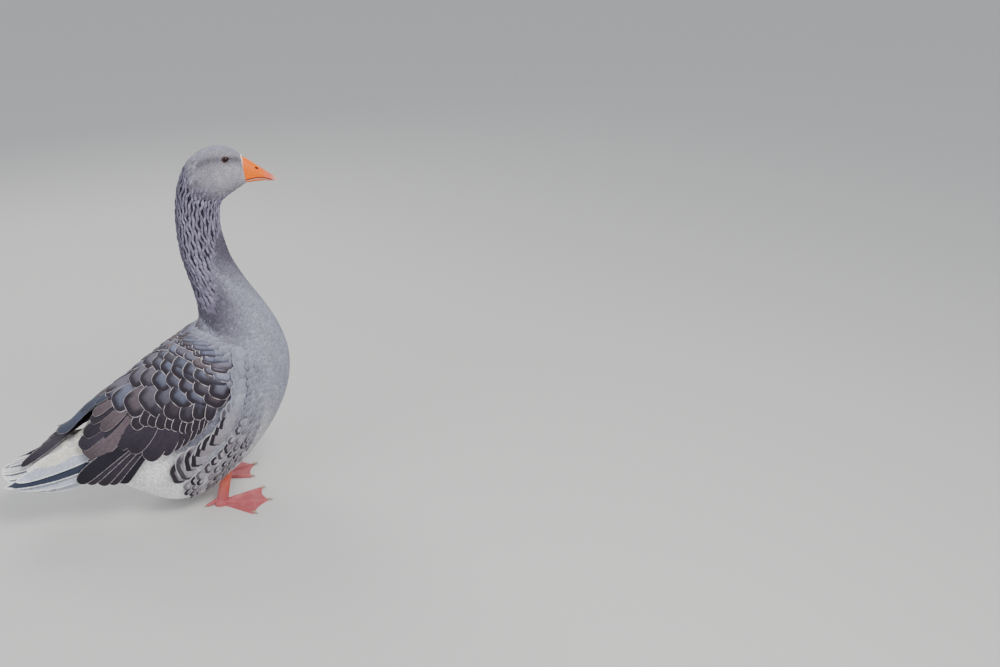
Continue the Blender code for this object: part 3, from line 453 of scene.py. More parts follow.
def rolled_mesh(name, middle, out, axis, size, sides):
    """A roll round a closed line: its middle, the ways out and along the axis, and its half sizes."""
    roll = np.linspace(0, 2 * np.pi, sides, endpoint=False)[None, :, None]
    points = middle[:, None] + (out[:, None] * np.cos(roll) + axis * np.sin(roll)) * size[:, None, None]
    ids = np.arange(len(middle) * sides).reshape(-1, sides)
    after = np.roll(ids, -1, 0)
    quads = np.stack([ids, after, np.roll(after, -1, 1), np.roll(ids, -1, 1)], -1).reshape(-1, 4)
    return add_mesh(name, points, [quads])


def outward(thing):
    """Turns a closed mesh's faces outwards where they point in."""
    mesh = thing.data
    mesh.calc_loop_triangles()
    volume = 0.0
    for triangle in mesh.loop_triangles:
        a, b, c = (mesh.vertices[i].co for i in triangle.vertices)
        volume += a.dot(b.cross(c))
    if volume < 0:
        mesh.flip_normals()
    return thing


def finish_piece(thing, material, slot, *nodes, angle=50):
    """Shades a piece, gives it its material, and sets it on the frame. The slot is not used."""
    thing.data.materials.append(material)
    thing.data.shade_smooth()
    thing.data.set_sharp_from_angle(angle=math.radians(angle))
    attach(thing, "root")
    if nodes:
        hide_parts(*nodes)


def node(tree, kind, inputs=None, **settings):
    """A shader node with its settings, and its inputs set or linked."""
    made = tree.nodes.new(kind)
    for name, value in settings.items():
        setattr(made, name, value)
    for key, value in (inputs or {}).items():
        if isinstance(value, bpy.types.NodeSocket):
            tree.links.new(value, made.inputs[key])
        else:
            made.inputs[key].default_value = value
    return made


def maths(operation, *values):
    """One step of reckoning on values, of which at least one comes from a node."""
    tree = next(value.id_data for value in values if isinstance(value, bpy.types.NodeSocket))
    return node(tree, "ShaderNodeMath", dict(enumerate(values)), operation=operation).outputs[0]


def plus(first, second):
    """The sum of two values."""
    return maths("ADD", first, second)


def minus(first, second):
    """What is left of one value without another."""
    return maths("SUBTRACT", first, second)


def times(first, second):
    """The product of two values."""
    return maths("MULTIPLY", first, second)


def ramp(value, low, high, start=0.0, end=1.0):
    """A smooth rise or fall of a value between two others."""
    inputs = {"Value": value, "From Min": low, "From Max": high, "To Min": start, "To Max": end}
    made = node(value.id_data, "ShaderNodeMapRange", inputs, interpolation_type="SMOOTHSTEP")
    return made.outputs["Result"]


def mixed(share, first, second):
    """Two colours mixed by a share."""
    first, second = (
        value if isinstance(value, bpy.types.NodeSocket) else (*value, 1.0) for value in (first, second)
    )
    inputs = {0: share, 6: first, 7: second}
    return node(share.id_data, "ShaderNodeMix", inputs, data_type="RGBA").outputs[2]


def scaled(colour, share):
    """A colour made darker or lighter by a value."""
    inputs = {0: colour, "Scale": share}
    return node(share.id_data, "ShaderNodeVectorMath", inputs, operation="SCALE").outputs[0]


def attribute(tree, name, output="Color"):
    """What a mesh keeps under a name."""
    return node(tree, "ShaderNodeAttribute", attribute_name=name).outputs[output]


def parted(vector):
    """The three numbers of a vector."""
    return node(vector.id_data, "ShaderNodeSeparateXYZ", {"Vector": vector}).outputs


def plan_parts(tree):
    """The three numbers of each point's plan."""
    return parted(attribute(tree, "plan", "Vector"))


def own_place(tree):
    """A point's place in the piece's own coordinates."""
    return node(tree, "ShaderNodeTexCoord").outputs["Object"]


def new_material(name, roughness, **shader_inputs):
    """A material with a Principled shader, and its constants set on the shader's own sockets."""
    made = bpy.data.materials.new(name)
    made.use_nodes = True
    shader = made.node_tree.nodes["Principled BSDF"]
    shader.inputs["Roughness"].default_value = roughness
    for key, value in shader_inputs.items():
        shader.inputs[key.replace("_", " ")].default_value = value
    return made, made.node_tree, shader


def noise(tree, scale, detail=3.0, where=None):
    """Noise on the piece's own coordinates, or on those given."""
    inputs = {"Vector": where or own_place(tree), "Scale": scale, "Detail": detail}
    return node(tree, "ShaderNodeTexNoise", inputs).outputs[0]


def bumped(height, distance):
    """A relief from a height, as deep as a distance."""
    return node(height.id_data, "ShaderNodeBump", {"Height": height, "Distance": distance}).outputs["Normal"]


def dress(shader, colour, relief=None):
    """Gives a shader its colour and, where it has one, its relief."""
    tree = shader.id_data
    tree.links.new(colour, shader.inputs["Base Color"])
    if relief:
        tree.links.new(relief, shader.inputs["Normal"])


def feather_look():
    """The face of a feather: its tint with barbs, a shaft, a pale rim and, on some, a dark bar."""
    tree = bpy.data.node_groups.new("feather_look", "ShaderNodeTree")
    for name, value in (
        ("Rim Width", 0.001), ("Side Rim", 0.6), ("Rim Share", 1.0), ("Shaft Share", 1.0), ("Depth", 0.0003),
        ("Band Start", 0.0024), ("Band End", 0.0070), ("Band Fade", 0.0025), ("Reach", 0.012),
        ("Tip Shade", 0.8), ("Root Shade", 1.12), ("Shade Length", 0.020), ("Strands", 0.0),
    ):
        socket = tree.interface.new_socket(name, in_out="INPUT", socket_type="NodeSocketFloat")
        socket.default_value = value
    tree.interface.new_socket("Color", in_out="OUTPUT", socket_type="NodeSocketColor")
    tree.interface.new_socket("Normal", in_out="OUTPUT", socket_type="NodeSocketVector")
    given = node(tree, "NodeGroupInput").outputs
    aside, behind, inward = plan_parts(tree)
    side = maths("ABSOLUTE", aside)
    edge = plus(inward, times(minus(noise(tree, 300.0), 0.5), 0.0018))
    near_tip = ramp(behind, given["Reach"], times(given["Reach"], 2.2), 1.0, 0.0)
    barb = times(plus(behind, times(side, 0.9)), 1700.0)
    strand = times(aside, 2600.0)
    line = plus(times(barb, minus(1.0, given["Strands"])), times(strand, given["Strands"]))
    lines = {"W": line, "Scale": 1.0, "Detail": 2.0}
    streak = node(tree, "ShaderNodeTexNoise", lines, noise_dimensions="1D").outputs[0]
    shade = ramp(behind, 0.0, given["Shade Length"], given["Tip Shade"], given["Root Shade"])
    for value, low, high, spread in (
        (streak, 0.25, 0.75, 0.20), (noise(tree, 110.0), 0.3, 0.7, 0.08),
        (noise(tree, 280.0), 0.3, 0.7, 0.12),
    ):
        shade = times(shade, ramp(value, low, high, 1 - spread, 1 + spread))
    band_start, band_end = given["Band Start"], given["Band End"]
    band = times(
        ramp(edge, minus(band_start, 0.0009), band_start),
        ramp(edge, band_end, plus(band_end, given["Band Fade"]), 1.0, 0.0),
    )
    band = times(times(band, near_tip), attribute(tree, "tint", "Alpha"))
    colour = mixed(band, scaled(attribute(tree, "tint"), shade), PAINT["bar"])
    shaft = times(ramp(side, 0.0002, 0.0006, 1.0, 0.0), given["Shaft Share"])
    colour = mixed(times(shaft, 0.45), colour, PAINT["black"])
    wide = node(tree, "ShaderNodeMix", {0: near_tip, 2: given["Side Rim"], 3: 1.0}).outputs[0]
    wide = times(given["Rim Width"], wide)
    fringe = times(ramp(edge, times(wide, 0.40), wide, 1.0, 0.0), given["Rim Share"])
    fringe = times(fringe, ramp(noise(tree, 130.0), 0.32, 0.55, 0.55, 1.0))
    colour = mixed(fringe, colour, attribute(tree, "rim"))
    normal = bumped(plus(times(streak, 0.6), shaft), given["Depth"])
    node(tree, "NodeGroupOutput", {"Color": colour, "Normal": normal})
    return tree


FEATHER_LOOK = feather_look()


def feather_material(name, roughness, **looks):
    """A feather's material: the shared look with its own rim, shaft and relief."""
    made, tree, shader = new_material(name, roughness, Specular_IOR_Level=0.25)
    group = node(tree, "ShaderNodeGroup", node_tree=FEATHER_LOOK)
    for key, value in looks.items():
        group.inputs[key.replace("_", " ")].default_value = value
    dress(shader, group.outputs["Color"], group.outputs["Normal"])
    return made


# Feathers


# Outlines of feathers, as shares of the length and of the width
SMALL = np.array([(0.0, 0.45), (0.25, 0.85), (0.55, 1.0), (0.80, 0.88), (0.94, 0.58), (1.0, 0.22)])
ROUND = np.array([
    (0.0, 0.30), (0.10, 0.55), (0.25, 0.80), (0.42, 0.95), (0.58, 1.0), (0.72, 0.98), (0.82, 0.91),
    (0.89, 0.80), (0.94, 0.66), (0.975, 0.47), (0.993, 0.26), (1.0, 0.10),
])
BLUNT = np.array([
    (0.0, 0.30), (0.12, 0.60), (0.28, 0.84), (0.45, 0.96), (0.60, 1.0), (0.72, 0.99), (0.81, 0.95),
    (0.88, 0.87), (0.93, 0.75), (0.965, 0.60), (0.988, 0.38), (1.0, 0.14),
])
FLAT = np.array([
    (0.0, 0.40), (0.15, 0.72), (0.32, 0.92), (0.50, 1.0), (0.66, 1.0), (0.78, 0.98), (0.86, 0.93),
    (0.92, 0.84), (0.96, 0.70), (0.985, 0.50), (1.0, 0.24),
])
LONG = np.array([
    (0.0, 0.20), (0.06, 0.45), (0.15, 0.70), (0.28, 0.86), (0.42, 0.95), (0.56, 1.0), (0.70, 1.0),
    (0.80, 0.96), (0.87, 0.89), (0.92, 0.79), (0.955, 0.66), (0.98, 0.48), (0.994, 0.27), (1.0, 0.10),
])
POINTED = np.array([
    (0.0, 0.20), (0.06, 0.45), (0.15, 0.70), (0.28, 0.86), (0.42, 0.95), (0.56, 1.0), (0.68, 0.98),
    (0.78, 0.91), (0.86, 0.79), (0.92, 0.63), (0.96, 0.45), (0.985, 0.26), (1.0, 0.08),
])
CRESCENT = np.array([
    (0.0, 0.50), (0.16, 0.72), (0.32, 0.90), (0.50, 1.0), (0.64, 0.99), (0.76, 0.93), (0.84, 0.84),
    (0.90, 0.72), (0.94, 0.58), (0.97, 0.42), (0.988, 0.26), (1.0, 0.08),
])
FINE_COLUMNS = np.array([-1, -0.93, -0.72, -0.40, 0, 0.40, 0.72, 0.93, 1.0])
SMALL_COLUMNS = np.array([-1.0, 0.0, 1.0])
LOCK = np.array([
    (0.0, 0.30), (0.12, 0.62), (0.30, 0.92), (0.50, 1.0), (0.70, 0.86), (0.86, 0.56), (0.95, 0.30),
    (1.0, 0.08),
])
LOCK_COLUMNS = np.array([-1.0, -0.5, 0.0, 0.5, 1.0])


# How thick the wide feathers are in the middle
BLADE = 0.0004


def laid(t, turn, half, outline, heights, columns, surface, camber, tilt=0.0):
    """Grids of points of feathers that lie on a surface along paths of places, root to tip."""
    width = outline[:, 1]
    along, around, facing = slopes(t, turn, surface)
    way = along * np.gradient(t, axis=1)[..., None] + around * np.gradient(turn, axis=1)[..., None]
    across = unit(np.cross(facing, way))
    e, f, g = (along**2).sum(-1), (along * around).sum(-1), (around**2).sum(-1)
    p, q = (across * along).sum(-1), (across * around).sum(-1)
    area = np.maximum(e * g - f * f, 1e-12)
    move_t, move_turn = (g * p - f * q) / area, (e * q - f * p) / area
    aside = half[:, None, None] * width[:, None] * columns
    drop = np.asarray(camber).reshape(-1, 1, 1) * columns**2 + np.asarray(tilt).reshape(-1, 1, 1) * columns
    grid = surface(
        t[..., None] + move_t[..., None] * aside, turn[..., None] + move_turn[..., None] * aside,
        heights[..., None] - drop * width[:, None],
    )
    return grid, facing


def straight(roots, tips, outline):
    """The paths of feathers that run straight from their roots to their tips."""
    share = outline[:, 0]
    path = roots[:, None] + (tips - roots)[:, None] * share[:, None]
    return path[..., 0], path[..., 1]


def freed(centres, facing, half, outline, columns, camber):
    """Grids of points of feathers whose middle lines are given."""
    across = unit(np.cross(facing, np.gradient(centres, axis=1)))
    aside = (half[:, None, None] * outline[:, 1][:, None] * columns)[..., None]
    drop = (camber * columns**2 * outline[:, 1][:, None])[..., None]
    return centres[:, :, None] + across[:, :, None] * aside - facing[:, :, None] * drop


def feather_set(grid, facing, half, outline, columns, tint, rim, bake, shaft=0.0, grain=1.0):
    """One set of like feathers, as closed blades with a sharp edge, ready to be joined.

    The plan of a point is its distance from the shaft, from the tip and from the edge, for the look.
    """
    count, rings, wide = grid.shape[:3]
    share, width = outline[:, 0], outline[:, 1]
    inner = columns[1:-1][::-1] if wide > 3 else columns[:0]
    under = grid[:, :, 1:-1][:, :, ::-1] if wide > 3 else grid[:, :, :0]
    under = under - facing[:, :, None] * (BLADE * (1 - inner**2))[:, None]
    points = np.concatenate([grid, under], 2)
    around = np.concatenate([columns, inner])
    middle = grid[:, :, wide // 2]
    steps = np.linalg.norm(np.diff(middle, axis=1), axis=-1)
    run = np.concatenate([np.zeros((count, 1)), np.cumsum(steps, 1)], 1)
    aside = half[:, None, None] * width[:, None] * (around - shaft)
    behind = np.repeat((run[:, -1:] - run)[..., None], len(around), 2)
    edge = np.minimum(half[:, None, None] * width[:, None] * (1 - np.abs(around)), behind)
    plan = np.stack([aside, behind, edge], -1) / np.reshape(grain, (-1, 1, 1, 1))
    kinds = len(around)
    ids = np.arange(count * rings * kinds).reshape(count, rings, kinds)
    following = np.roll(ids, -1, 2)
    quads = np.stack([ids[:, :-1], ids[:, 1:], following[:, 1:], following[:, :-1]], -1)
    top, below = quads[:, :, : wide - 1].reshape(-1, 4), quads[:, :, wide - 1 :].reshape(-1, 4)
    caps = np.concatenate([ids[:, 0], ids[:, -1][:, ::-1]])
    uv = bake(around, share)
    spread = np.ones((count, rings, kinds, 1))
    return {
        "points": points.reshape(-1, 3),
        "plan": plan.reshape(-1, 3),
        "tint": (spread * tint[:, None, None]).reshape(-1, tint.shape[-1]),
        "rim": (spread * rim[:, None, None]).reshape(-1, 3),
        "bake": uv.reshape(-1, 2),
        "hidden": [caps, below],
        "top": top,
    }


def join_feathers(name, sets):
    """One mesh of several sets of feathers. The upper faces come last, so that they win a bake."""
    start, hidden, top = 0, [], []
    for one in sets:
        hidden += [some + start for some in one["hidden"]]
        top.append(one["top"] + start)
        start += len(one["points"])
    stacked = {key: np.concatenate([one[key] for one in sets]) for key in ("points", "plan", "rim", "bake")}
    tint = [one["tint"] for one in sets]
    tint = np.concatenate([c if c.shape[1] == 4 else np.column_stack([c, np.zeros(len(c))]) for c in tint])
    return add_mesh(
        name, stacked["points"], hidden + top, {"tint": tint, "rim": stacked["rim"]}, stacked["plan"],
        point_maps={"OFBake": stacked["bake"]},
    )


# The width of a small feather's patch on the skin's unwrap
PATCH = 0.003


def skin_place(t, turn):
    """A place on the unwrap of the skin: round it, and along it."""
    along = (np.asarray(t, float) + 1.2) / (BILL_BASE + 1.4)
    around = (np.asarray(turn, float) / (2 * np.pi) + 0.5) % 1
    return np.stack(np.broadcast_arrays(0.02 + 0.96 * around, 0.01 + 0.98 * along), -1)


def patches(places):
    """A bake map with a small patch for each feather, at its root's place on the skin's unwrap."""
    middle = skin_place(places[:, 0], places[:, 1])

    def bake(around, share):
        """Places on the map for the points of each feather."""
        patch = np.stack(np.broadcast_arrays(around[None, :], (share * 2 - 1)[:, None]), -1) * PATCH / 2
        return middle[:, None, None] + patch

    return bake


def cells(first, count, total):
    """A bake map with a square cell of the sheet for each large feather."""
    side = math.ceil(math.sqrt(total))
    index = np.arange(first, first + count)
    corner = np.stack([index % side, index // side], -1) / side

    def bake(around, share):
        """Places on the map for the points of each feather."""
        inside = np.stack(np.broadcast_arrays((around[None, :] + 1) / 2, share[:, None]), -1)
        return corner[:, None, None] + (0.05 + 0.9 * inside) / side

    return bake


# How finely the bird is divided to spread the small feathers, and the two steps that spread them evenly
SCATTER_GRID = (260, 256)
SCATTER_STEPS = (0.7548776662466927, 0.5698402909980532)


def scatter(low, high, spacing, allowed):
    """Places (t, turn) spread evenly over the bird between two sections, so far apart on its surface."""
    levels, sides = SCATTER_GRID
    t, turn = np.meshgrid(
        np.linspace(low, high, levels), np.linspace(-np.pi, np.pi, sides, endpoint=False), indexing="ij"
    )
    along, around, _ = slopes(t, turn, on_body)
    area = np.linalg.norm(np.cross(along, around), axis=-1) * (high - low) / (levels - 1) * 2 * np.pi / sides
    weight = area / spacing(t, turn) ** 2 * allowed(t, turn)
    count = int(weight.sum())
    k = np.arange(count)
    first, second = ((0.5 + k * step) % 1 for step in SCATTER_STEPS)
    rows = np.concatenate([[0], np.cumsum(weight.sum(1))])
    at = np.interp(first, rows / rows[-1], np.arange(len(rows)))
    row = np.minimum(at.astype(int), levels - 1)
    cumulative = np.cumsum(weight, 1)
    cumulative /= np.maximum(cumulative[:, -1:], 1e-9)
    lifted = (cumulative + np.arange(levels)[:, None]).ravel()
    column = np.clip(np.searchsorted(lifted, row + second) - row * sides, 0, sides - 1)
    before = np.where(column > 0, cumulative[row, column - 1], 0.0)
    inside = (second - before) / np.maximum(cumulative[row, column] - before, 1e-9)
    where_t = low + (at - 0.5) * (high - low) / (levels - 1)
    where_turn = -np.pi + (column + np.clip(inside, 0, 1) - 0.5) * 2 * np.pi / sides
    return np.stack([np.clip(where_t, low, high), where_turn], -1)


def small_feathers(places, length, half, lift, sink, camber):
    """Small feathers from places on the bird, lying towards its tail."""
    count = len(places)
    along, around, _ = slopes(places[:, 0], places[:, 1], on_body)
    length = length * uneven(0.12, count)
    yaw = 0.10 * chance(count)
    tips = places.copy()
    tips[:, 0] -= length / np.linalg.norm(along, axis=-1)
    tips[:, 1] += yaw * length / np.linalg.norm(around, axis=-1)
    share = SMALL[:, 0]
    rise = np.sin(share * np.pi / 2) ** 0.9 - 0.12 * smooth(0.8, 1.0, share)
    lift = lift[:, None] * uneven(0.15, count, 1)
    heights = -sink[:, None] * (1 - rise) + lift * rise
    half = half * uneven(0.08, count)
    path = straight(places, tips, SMALL)
    grid, facing = laid(*path, half, SMALL, heights, SMALL_COLUMNS, on_body, camber)
    return grid, facing, half, tips


def varied(colour, spread=0.08):
    """The colour of each feather, a little lighter or darker than its neighbours'."""
    return colour * uneven(spread, len(colour), 1)


# Where the coat's pieces for the neck and for the head begin
COAT_NECK, COAT_HEAD = 9.2, 16.5
# How high the small feathers' tips stand and how deep their roots lie, on the body and on the face
COAT_LIFT, COAT_SINK = (0.0016, 0.0004), (0.0030, 0.0008)


def coat_size(t):
    """How far apart the small feathers stand: widest on the body and closest on the face."""
    body, neck, head = 0.0052, 0.0042, 0.0021
    return body + (neck - body) * smooth(9.0, 12.0, t) + (head - neck) * smooth(15.0, 18.5, t)


def bare_face(places):
    """Which places lie clear of the eyes and of the bill's base."""
    points = on_body(places[:, 0], places[:, 1])
    clear = places[:, 0] < BILL_BASE - 0.10
    for centre, _ in EYES.values():
        clear &= np.linalg.norm(points - centre, axis=-1) > BARE_RADIUS
    return clear


def wing_front(turn):
    """How far forward the wings' feathers reach before the breast's cover them."""
    return np.interp(folded(turn), [0.0, 0.34, 0.76, 1.08, 1.30, 1.48], [6.9, 7.0, 7.9, 8.0, 7.8, 7.2])


def under_wings(t, turn):
    """Places that the wings' feathers cover, where no small feathers grow: more of them on the left."""
    rear = 2.3 - 0.9 * (turn < -0.05)
    return (t < wing_front(turn) - 0.75) & (t > rear) & (folded(turn) < 1.30)


def make_coat():
    """The small feathers of the body, the neck's smooth parts and the head, in several pieces."""
    places = scatter(
        -0.95, BILL_BASE - 0.05, lambda t, turn: coat_size(t),
        lambda t, turn: (ridge_share(t, turn) < 0.75) * ~under_wings(t, turn),
    )
    places = places[bare_face(places)]
    t, turn = places.T
    size = coat_size(t)
    long = 3.5 + 0.8 * (1 - smooth(2.0, 5.0, t))
    head = smooth(COAT_HEAD, 18.5, t)
    lift, sink = (body * (1 - head) + face * head for body, face in (COAT_LIFT, COAT_SINK))
    grid, facing, half, tips = small_feathers(places, long * size, 1.15 * size, lift, sink, 0.28 * size)
    tint = varied(markings(tips[:, 0], tips[:, 1]), 0.07)
    rim = np.clip(tint * 1.45 + 0.02, 0, 1)
    look = feather_material(
        "coat_feathers", 0.8, Rim_Width=0.0010, Rim_Share=0.5, Shaft_Share=0.1, Tip_Shade=0.8,
        Shade_Length=0.008,
    )
    pieces = {
        "coat_head": t >= COAT_HEAD,
        "coat_neck": (t >= COAT_NECK) & (t < COAT_HEAD),
        "coat_right": (t < COAT_NECK) & (turn >= 0),
        "coat_left": (t < COAT_NECK) & (turn < 0),
    }
    for name, chosen in pieces.items():
        one = feather_set(
            grid[chosen], facing[chosen], half[chosen], SMALL, SMALL_COLUMNS, tint[chosen], rim[chosen],
            patches(places[chosen]),
        )
        finish_piece(join_feathers(name, [one]), look, "plumage_grey", angle=70)


def ridge_locks(offset, spacing, length):
    """Paths of narrow feathers along the neck's ridges, or between them where the offset is a half."""
    share = LOCK[:, 0]
    t = np.linspace(8.8, 19.8, 500)
    paths = []
    for k in np.arange(-8, RIDGES // 2 + 9) + offset:
        around = np.full(t.shape, k * 2 * np.pi / RIDGES)
        for _ in range(16):
            around = around - 0.7 * (ridge_phase(t, around) - 2 * np.pi * k) / RIDGES
        for side in (-1, 1):
            points = on_body(t, around * side)
            run = np.concatenate([[0], np.cumsum(np.linalg.norm(np.diff(points, axis=0), axis=-1))])
            starts = np.arange(length + spacing * draw.random(), run[-1], spacing)
            starts = starts + 0.2 * spacing * chance(len(starts))
            reach = length * uneven(0.15, len(starts))
            where = starts[:, None] - reach[:, None] * share
            path = np.stack([np.interp(where, run, t), np.interp(where, run, around)], -1)
            path[..., 1] += 0.30 / RIDGES * 2 * np.pi * draw.uniform(-1, 1, (len(starts), 1)) * share**2
            middle = path[:, len(share) // 2]
            kept = (path[..., 1].min(1) > 0) & (path[..., 1].max(1) < np.pi)
            kept &= ridge_share(middle[:, 0], middle[:, 1]) > 0.06
            paths.append(path[kept] * (1, side))
    return np.concatenate(paths)


def make_ridge_feathers():
    """The narrow locks of feathers that stand in furrowed rows from the cheek to the neck's base, with dark
    locks in the furrows and darkened rims as painted shadow.
    """
    share = LOCK[:, 0]
    look = feather_material(
        "neck_feathers", 0.7, Rim_Width=0.0011, Side_Rim=1.0, Rim_Share=0.7, Shaft_Share=0.0, Strands=1.0,
        Tip_Shade=1.15, Shade_Length=0.008, Depth=0.0006,
    )
    sets = {"right": [], "left": []}
    # The gap set is dark locks laid low between the ridges: painted shadow in the furrows.
    for offset, spacing, length, wide, name in (
        (0.0, 0.0056, 0.017, 0.40, "ridge"), (0.5, 0.0090, 0.016, 0.26, "gap"),
    ):
        paths = ridge_locks(offset, spacing, length)
        middle = paths[:, len(share) // 2]
        _, around, _ = slopes(middle[:, 0], middle[:, 1], on_body)
        pitch = np.linalg.norm(around, axis=-1) * 2 * np.pi / RIDGES
        strong = ridge_share(middle[:, 0], middle[:, 1])
        half = pitch * wide * (1.45 - 0.45 * strong) * uneven(0.16, len(middle))
        low = FURROW * strong * (0.75 if name == "gap" else 0.0)
        rough = uneven(0.25, len(middle), 1)
        heights = -0.0008 + 0.0021 * np.sin(np.pi * share**0.75) * (0.6 + 0.4 * strong)[:, None] * rough
        heights = heights + 0.0004 * share - low[:, None]
        camber = (0.0022 * strong + 0.0006) * (1.0 if name == "ridge" else 0.5)
        grid, facing = laid(
            paths[..., 0], paths[..., 1], half, LOCK, heights, LOCK_COLUMNS, on_body, camber
        )
        base = markings(middle[:, 0], middle[:, 1])
        hind = 1 - 0.40 * (1 - smooth(0.2, 1.0, folded(middle[:, 1])))
        tone = PAINT[name] * hind[:, None]
        tint = varied(base + (tone - base) * strong[:, None], 0.20)
        # Where the neck is furrowed, the locks' rims darken: painted shade along the furrows.
        rim = base + (PAINT["neck"] * 0.55 - base) * strong[:, None]
        for side, chosen in (("right", middle[:, 1] >= 0), ("left", middle[:, 1] < 0)):
            sets[side].append(feather_set(
                grid[chosen], facing[chosen], half[chosen], LOCK, LOCK_COLUMNS, tint[chosen], rim[chosen],
                patches(middle[chosen]),
            ))
    for side, both in sets.items():
        finish_piece(join_feathers("neck_" + side, both), look, "plumage_dark", angle=80)


# Skin


def skin_rings():
    """Where the skin's rings lie: closest on the neck and the head."""
    return np.concatenate([
        np.linspace(-1.0, 0.0, 12, endpoint=False),
        np.linspace(0.0, 9.5, 90, endpoint=False),
        np.linspace(9.5, 17.5, 150, endpoint=False),
        np.linspace(17.5, BILL_BASE, 100),
    ])


SKIN_SIDES = 240


def make_skin():
    """One skin over rump, body, neck and head, furrowed along the neck, painted darker than the coat as shade
    under the feathers and darkest in the furrows.
    """
    t = skin_rings()[:, None]
    turn = np.linspace(-np.pi, np.pi, SKIN_SIDES, endpoint=False)[None]
    t, turn = np.broadcast_arrays(t, turn)
    points = on_body(t, turn, -skin_depth(t, turn))
    wide = np.linspace(-np.pi, np.pi, SKIN_SIDES + 1)
    places = skin_place(t[:, :1], np.clip(wide, -np.pi, np.pi - 1e-9)[None])
    places[:, -1, 0] = 0.98
    corner = np.stack([places[:-1, :-1], places[:-1, 1:], places[1:, 1:], places[1:, :-1]], 2).reshape(-1, 2)
    fan = []
    for row, pole in ((0, 0.0), (-1, 1.0)):
        a, b = places[row, :-1], places[row, 1:]
        middle = np.stack([(a[:, 0] + b[:, 0]) / 2, np.full(SKIN_SIDES, pole)], -1)
        first, second = (b, a) if row == 0 else (a, b)
        fan.append(np.stack([first, second, middle], 1).reshape(-1, 2))
    colour = markings(t, turn).reshape(-1, 3)
    # Painted shade: the skin is darker than the coat over it, and darkest down in the neck's furrows.
    strong = ridge_share(t, turn)
    ridge = 0.5 + 0.5 * np.cos(ridge_phase(t, folded(turn)))
    shade = (1 - strong * (1 - 0.6 * ridge)).reshape(-1, 1)
    colour = PAINT["gap"] + (colour * 0.7 - PAINT["gap"]) * shade
    colour = np.vstack([colour, colour[:1], colour[-1:]])
    unwrap = {"OFBake": np.vstack([corner, *fan])}
    skin = ring_mesh("skin", points, colours={"tint": colour}, corner_maps=unwrap)
    made, tree, shader = new_material("down", 0.9, Specular_IOR_Level=0.15)
    fuzz = noise(tree, 900.0, 4.0)
    dress(shader, scaled(attribute(tree, "tint"), ramp(fuzz, 0.3, 0.7, 0.85, 1.1)), bumped(fuzz, 0.0006))
    finish_piece(skin, made, "plumage_grey", "torso", "neck_lower", "neck_upper", "head", angle=60)


# Wings


# Rows of a wing's coverts and scapulars, from the greater coverts to the shoulder: the line of their
# tips, how far apart they stand at its two ends, half widths for that, the way from tip to root, how
# high the tips stand, how strong the dark band inside the rim is, and how dark the whole feather.
COVERT_ROWS = [
    ([(2.72, 0.98), (3.2, 1.00), (3.56, 1.12), (4.0, 1.27), (4.45, 1.43), (4.9, 1.50)],
     (0.021, 0.012), 0.74, (1.00, -0.24), 0.0024, 1.0, 0.9),
    ([(3.2, 0.80), (3.75, 1.02), (4.65, 1.28), (5.5, 1.50)],
     (0.044, 0.018), 0.66, (1.05, -0.26), 0.0042, 1.0, 0.7),
    ([(2.05, 0.03), (2.15, 0.30), (2.45, 0.62), (3.5, 0.78), (4.2, 0.93), (4.85, 1.06), (5.5, 1.27),
      (6.2, 1.50)],
     (0.040, 0.034), 0.74, (1.28, -0.11), 0.0056, 1.0, 0.15),
    ([(3.0, 0.03), (3.2, 0.30), (3.8, 0.55), (4.5, 0.72), (5.12, 1.0), (5.9, 1.25), (6.5, 1.50)],
     (0.038, 0.030), 0.76, (1.15, -0.12), 0.0060, 1.0, 0.1),
    ([(3.7, 0.03), (4.2, 0.30), (4.78, 0.62), (5.3, 0.80), (5.8, 1.0), (6.2, 1.2), (6.7, 1.50)],
     (0.036, 0.028), 0.78, (1.05, -0.12), 0.0062, 0.95, 0.05),
    ([(4.3, 0.03), (4.7, 0.30), (5.17, 0.60), (5.6, 0.87), (6.1, 1.1), (6.5, 1.3), (6.9, 1.50)],
     (0.034, 0.025), 0.80, (0.95, -0.12), 0.0060, 0.9, 0.0),
    ([(4.8, 0.03), (5.25, 0.35), (5.73, 0.50), (6.05, 0.73), (6.4, 0.97), (6.75, 1.25), (6.98, 1.50)],
     (0.031, 0.023), 0.82, (0.88, -0.12), 0.0057, 0.85, 0.0),
    ([(5.3, 0.03), (5.8, 0.30), (6.28, 0.53), (6.61, 0.77), (6.82, 1.04), (7.01, 1.30), (7.15, 1.50)],
     (0.028, 0.021), 0.84, (0.80, -0.11), 0.0052, 0.8, 0.0),
]
# The line of the foremost shoulder feathers' tips, how many rows lead up to it, and the first row whose
# feathers have flat ends
SHOULDER = [(6.6, 0.03), (6.95, 0.30), (7.4, 0.50), (7.92, 0.75), (8.2, 1.06), (8.05, 1.30), (7.6, 1.52)]
SHOULDER_ROWS = 8
FLAT_ROWS = 5
# How many rows make up the coverts' piece: the others go with the shoulder's
LARGE_ROWS = 6

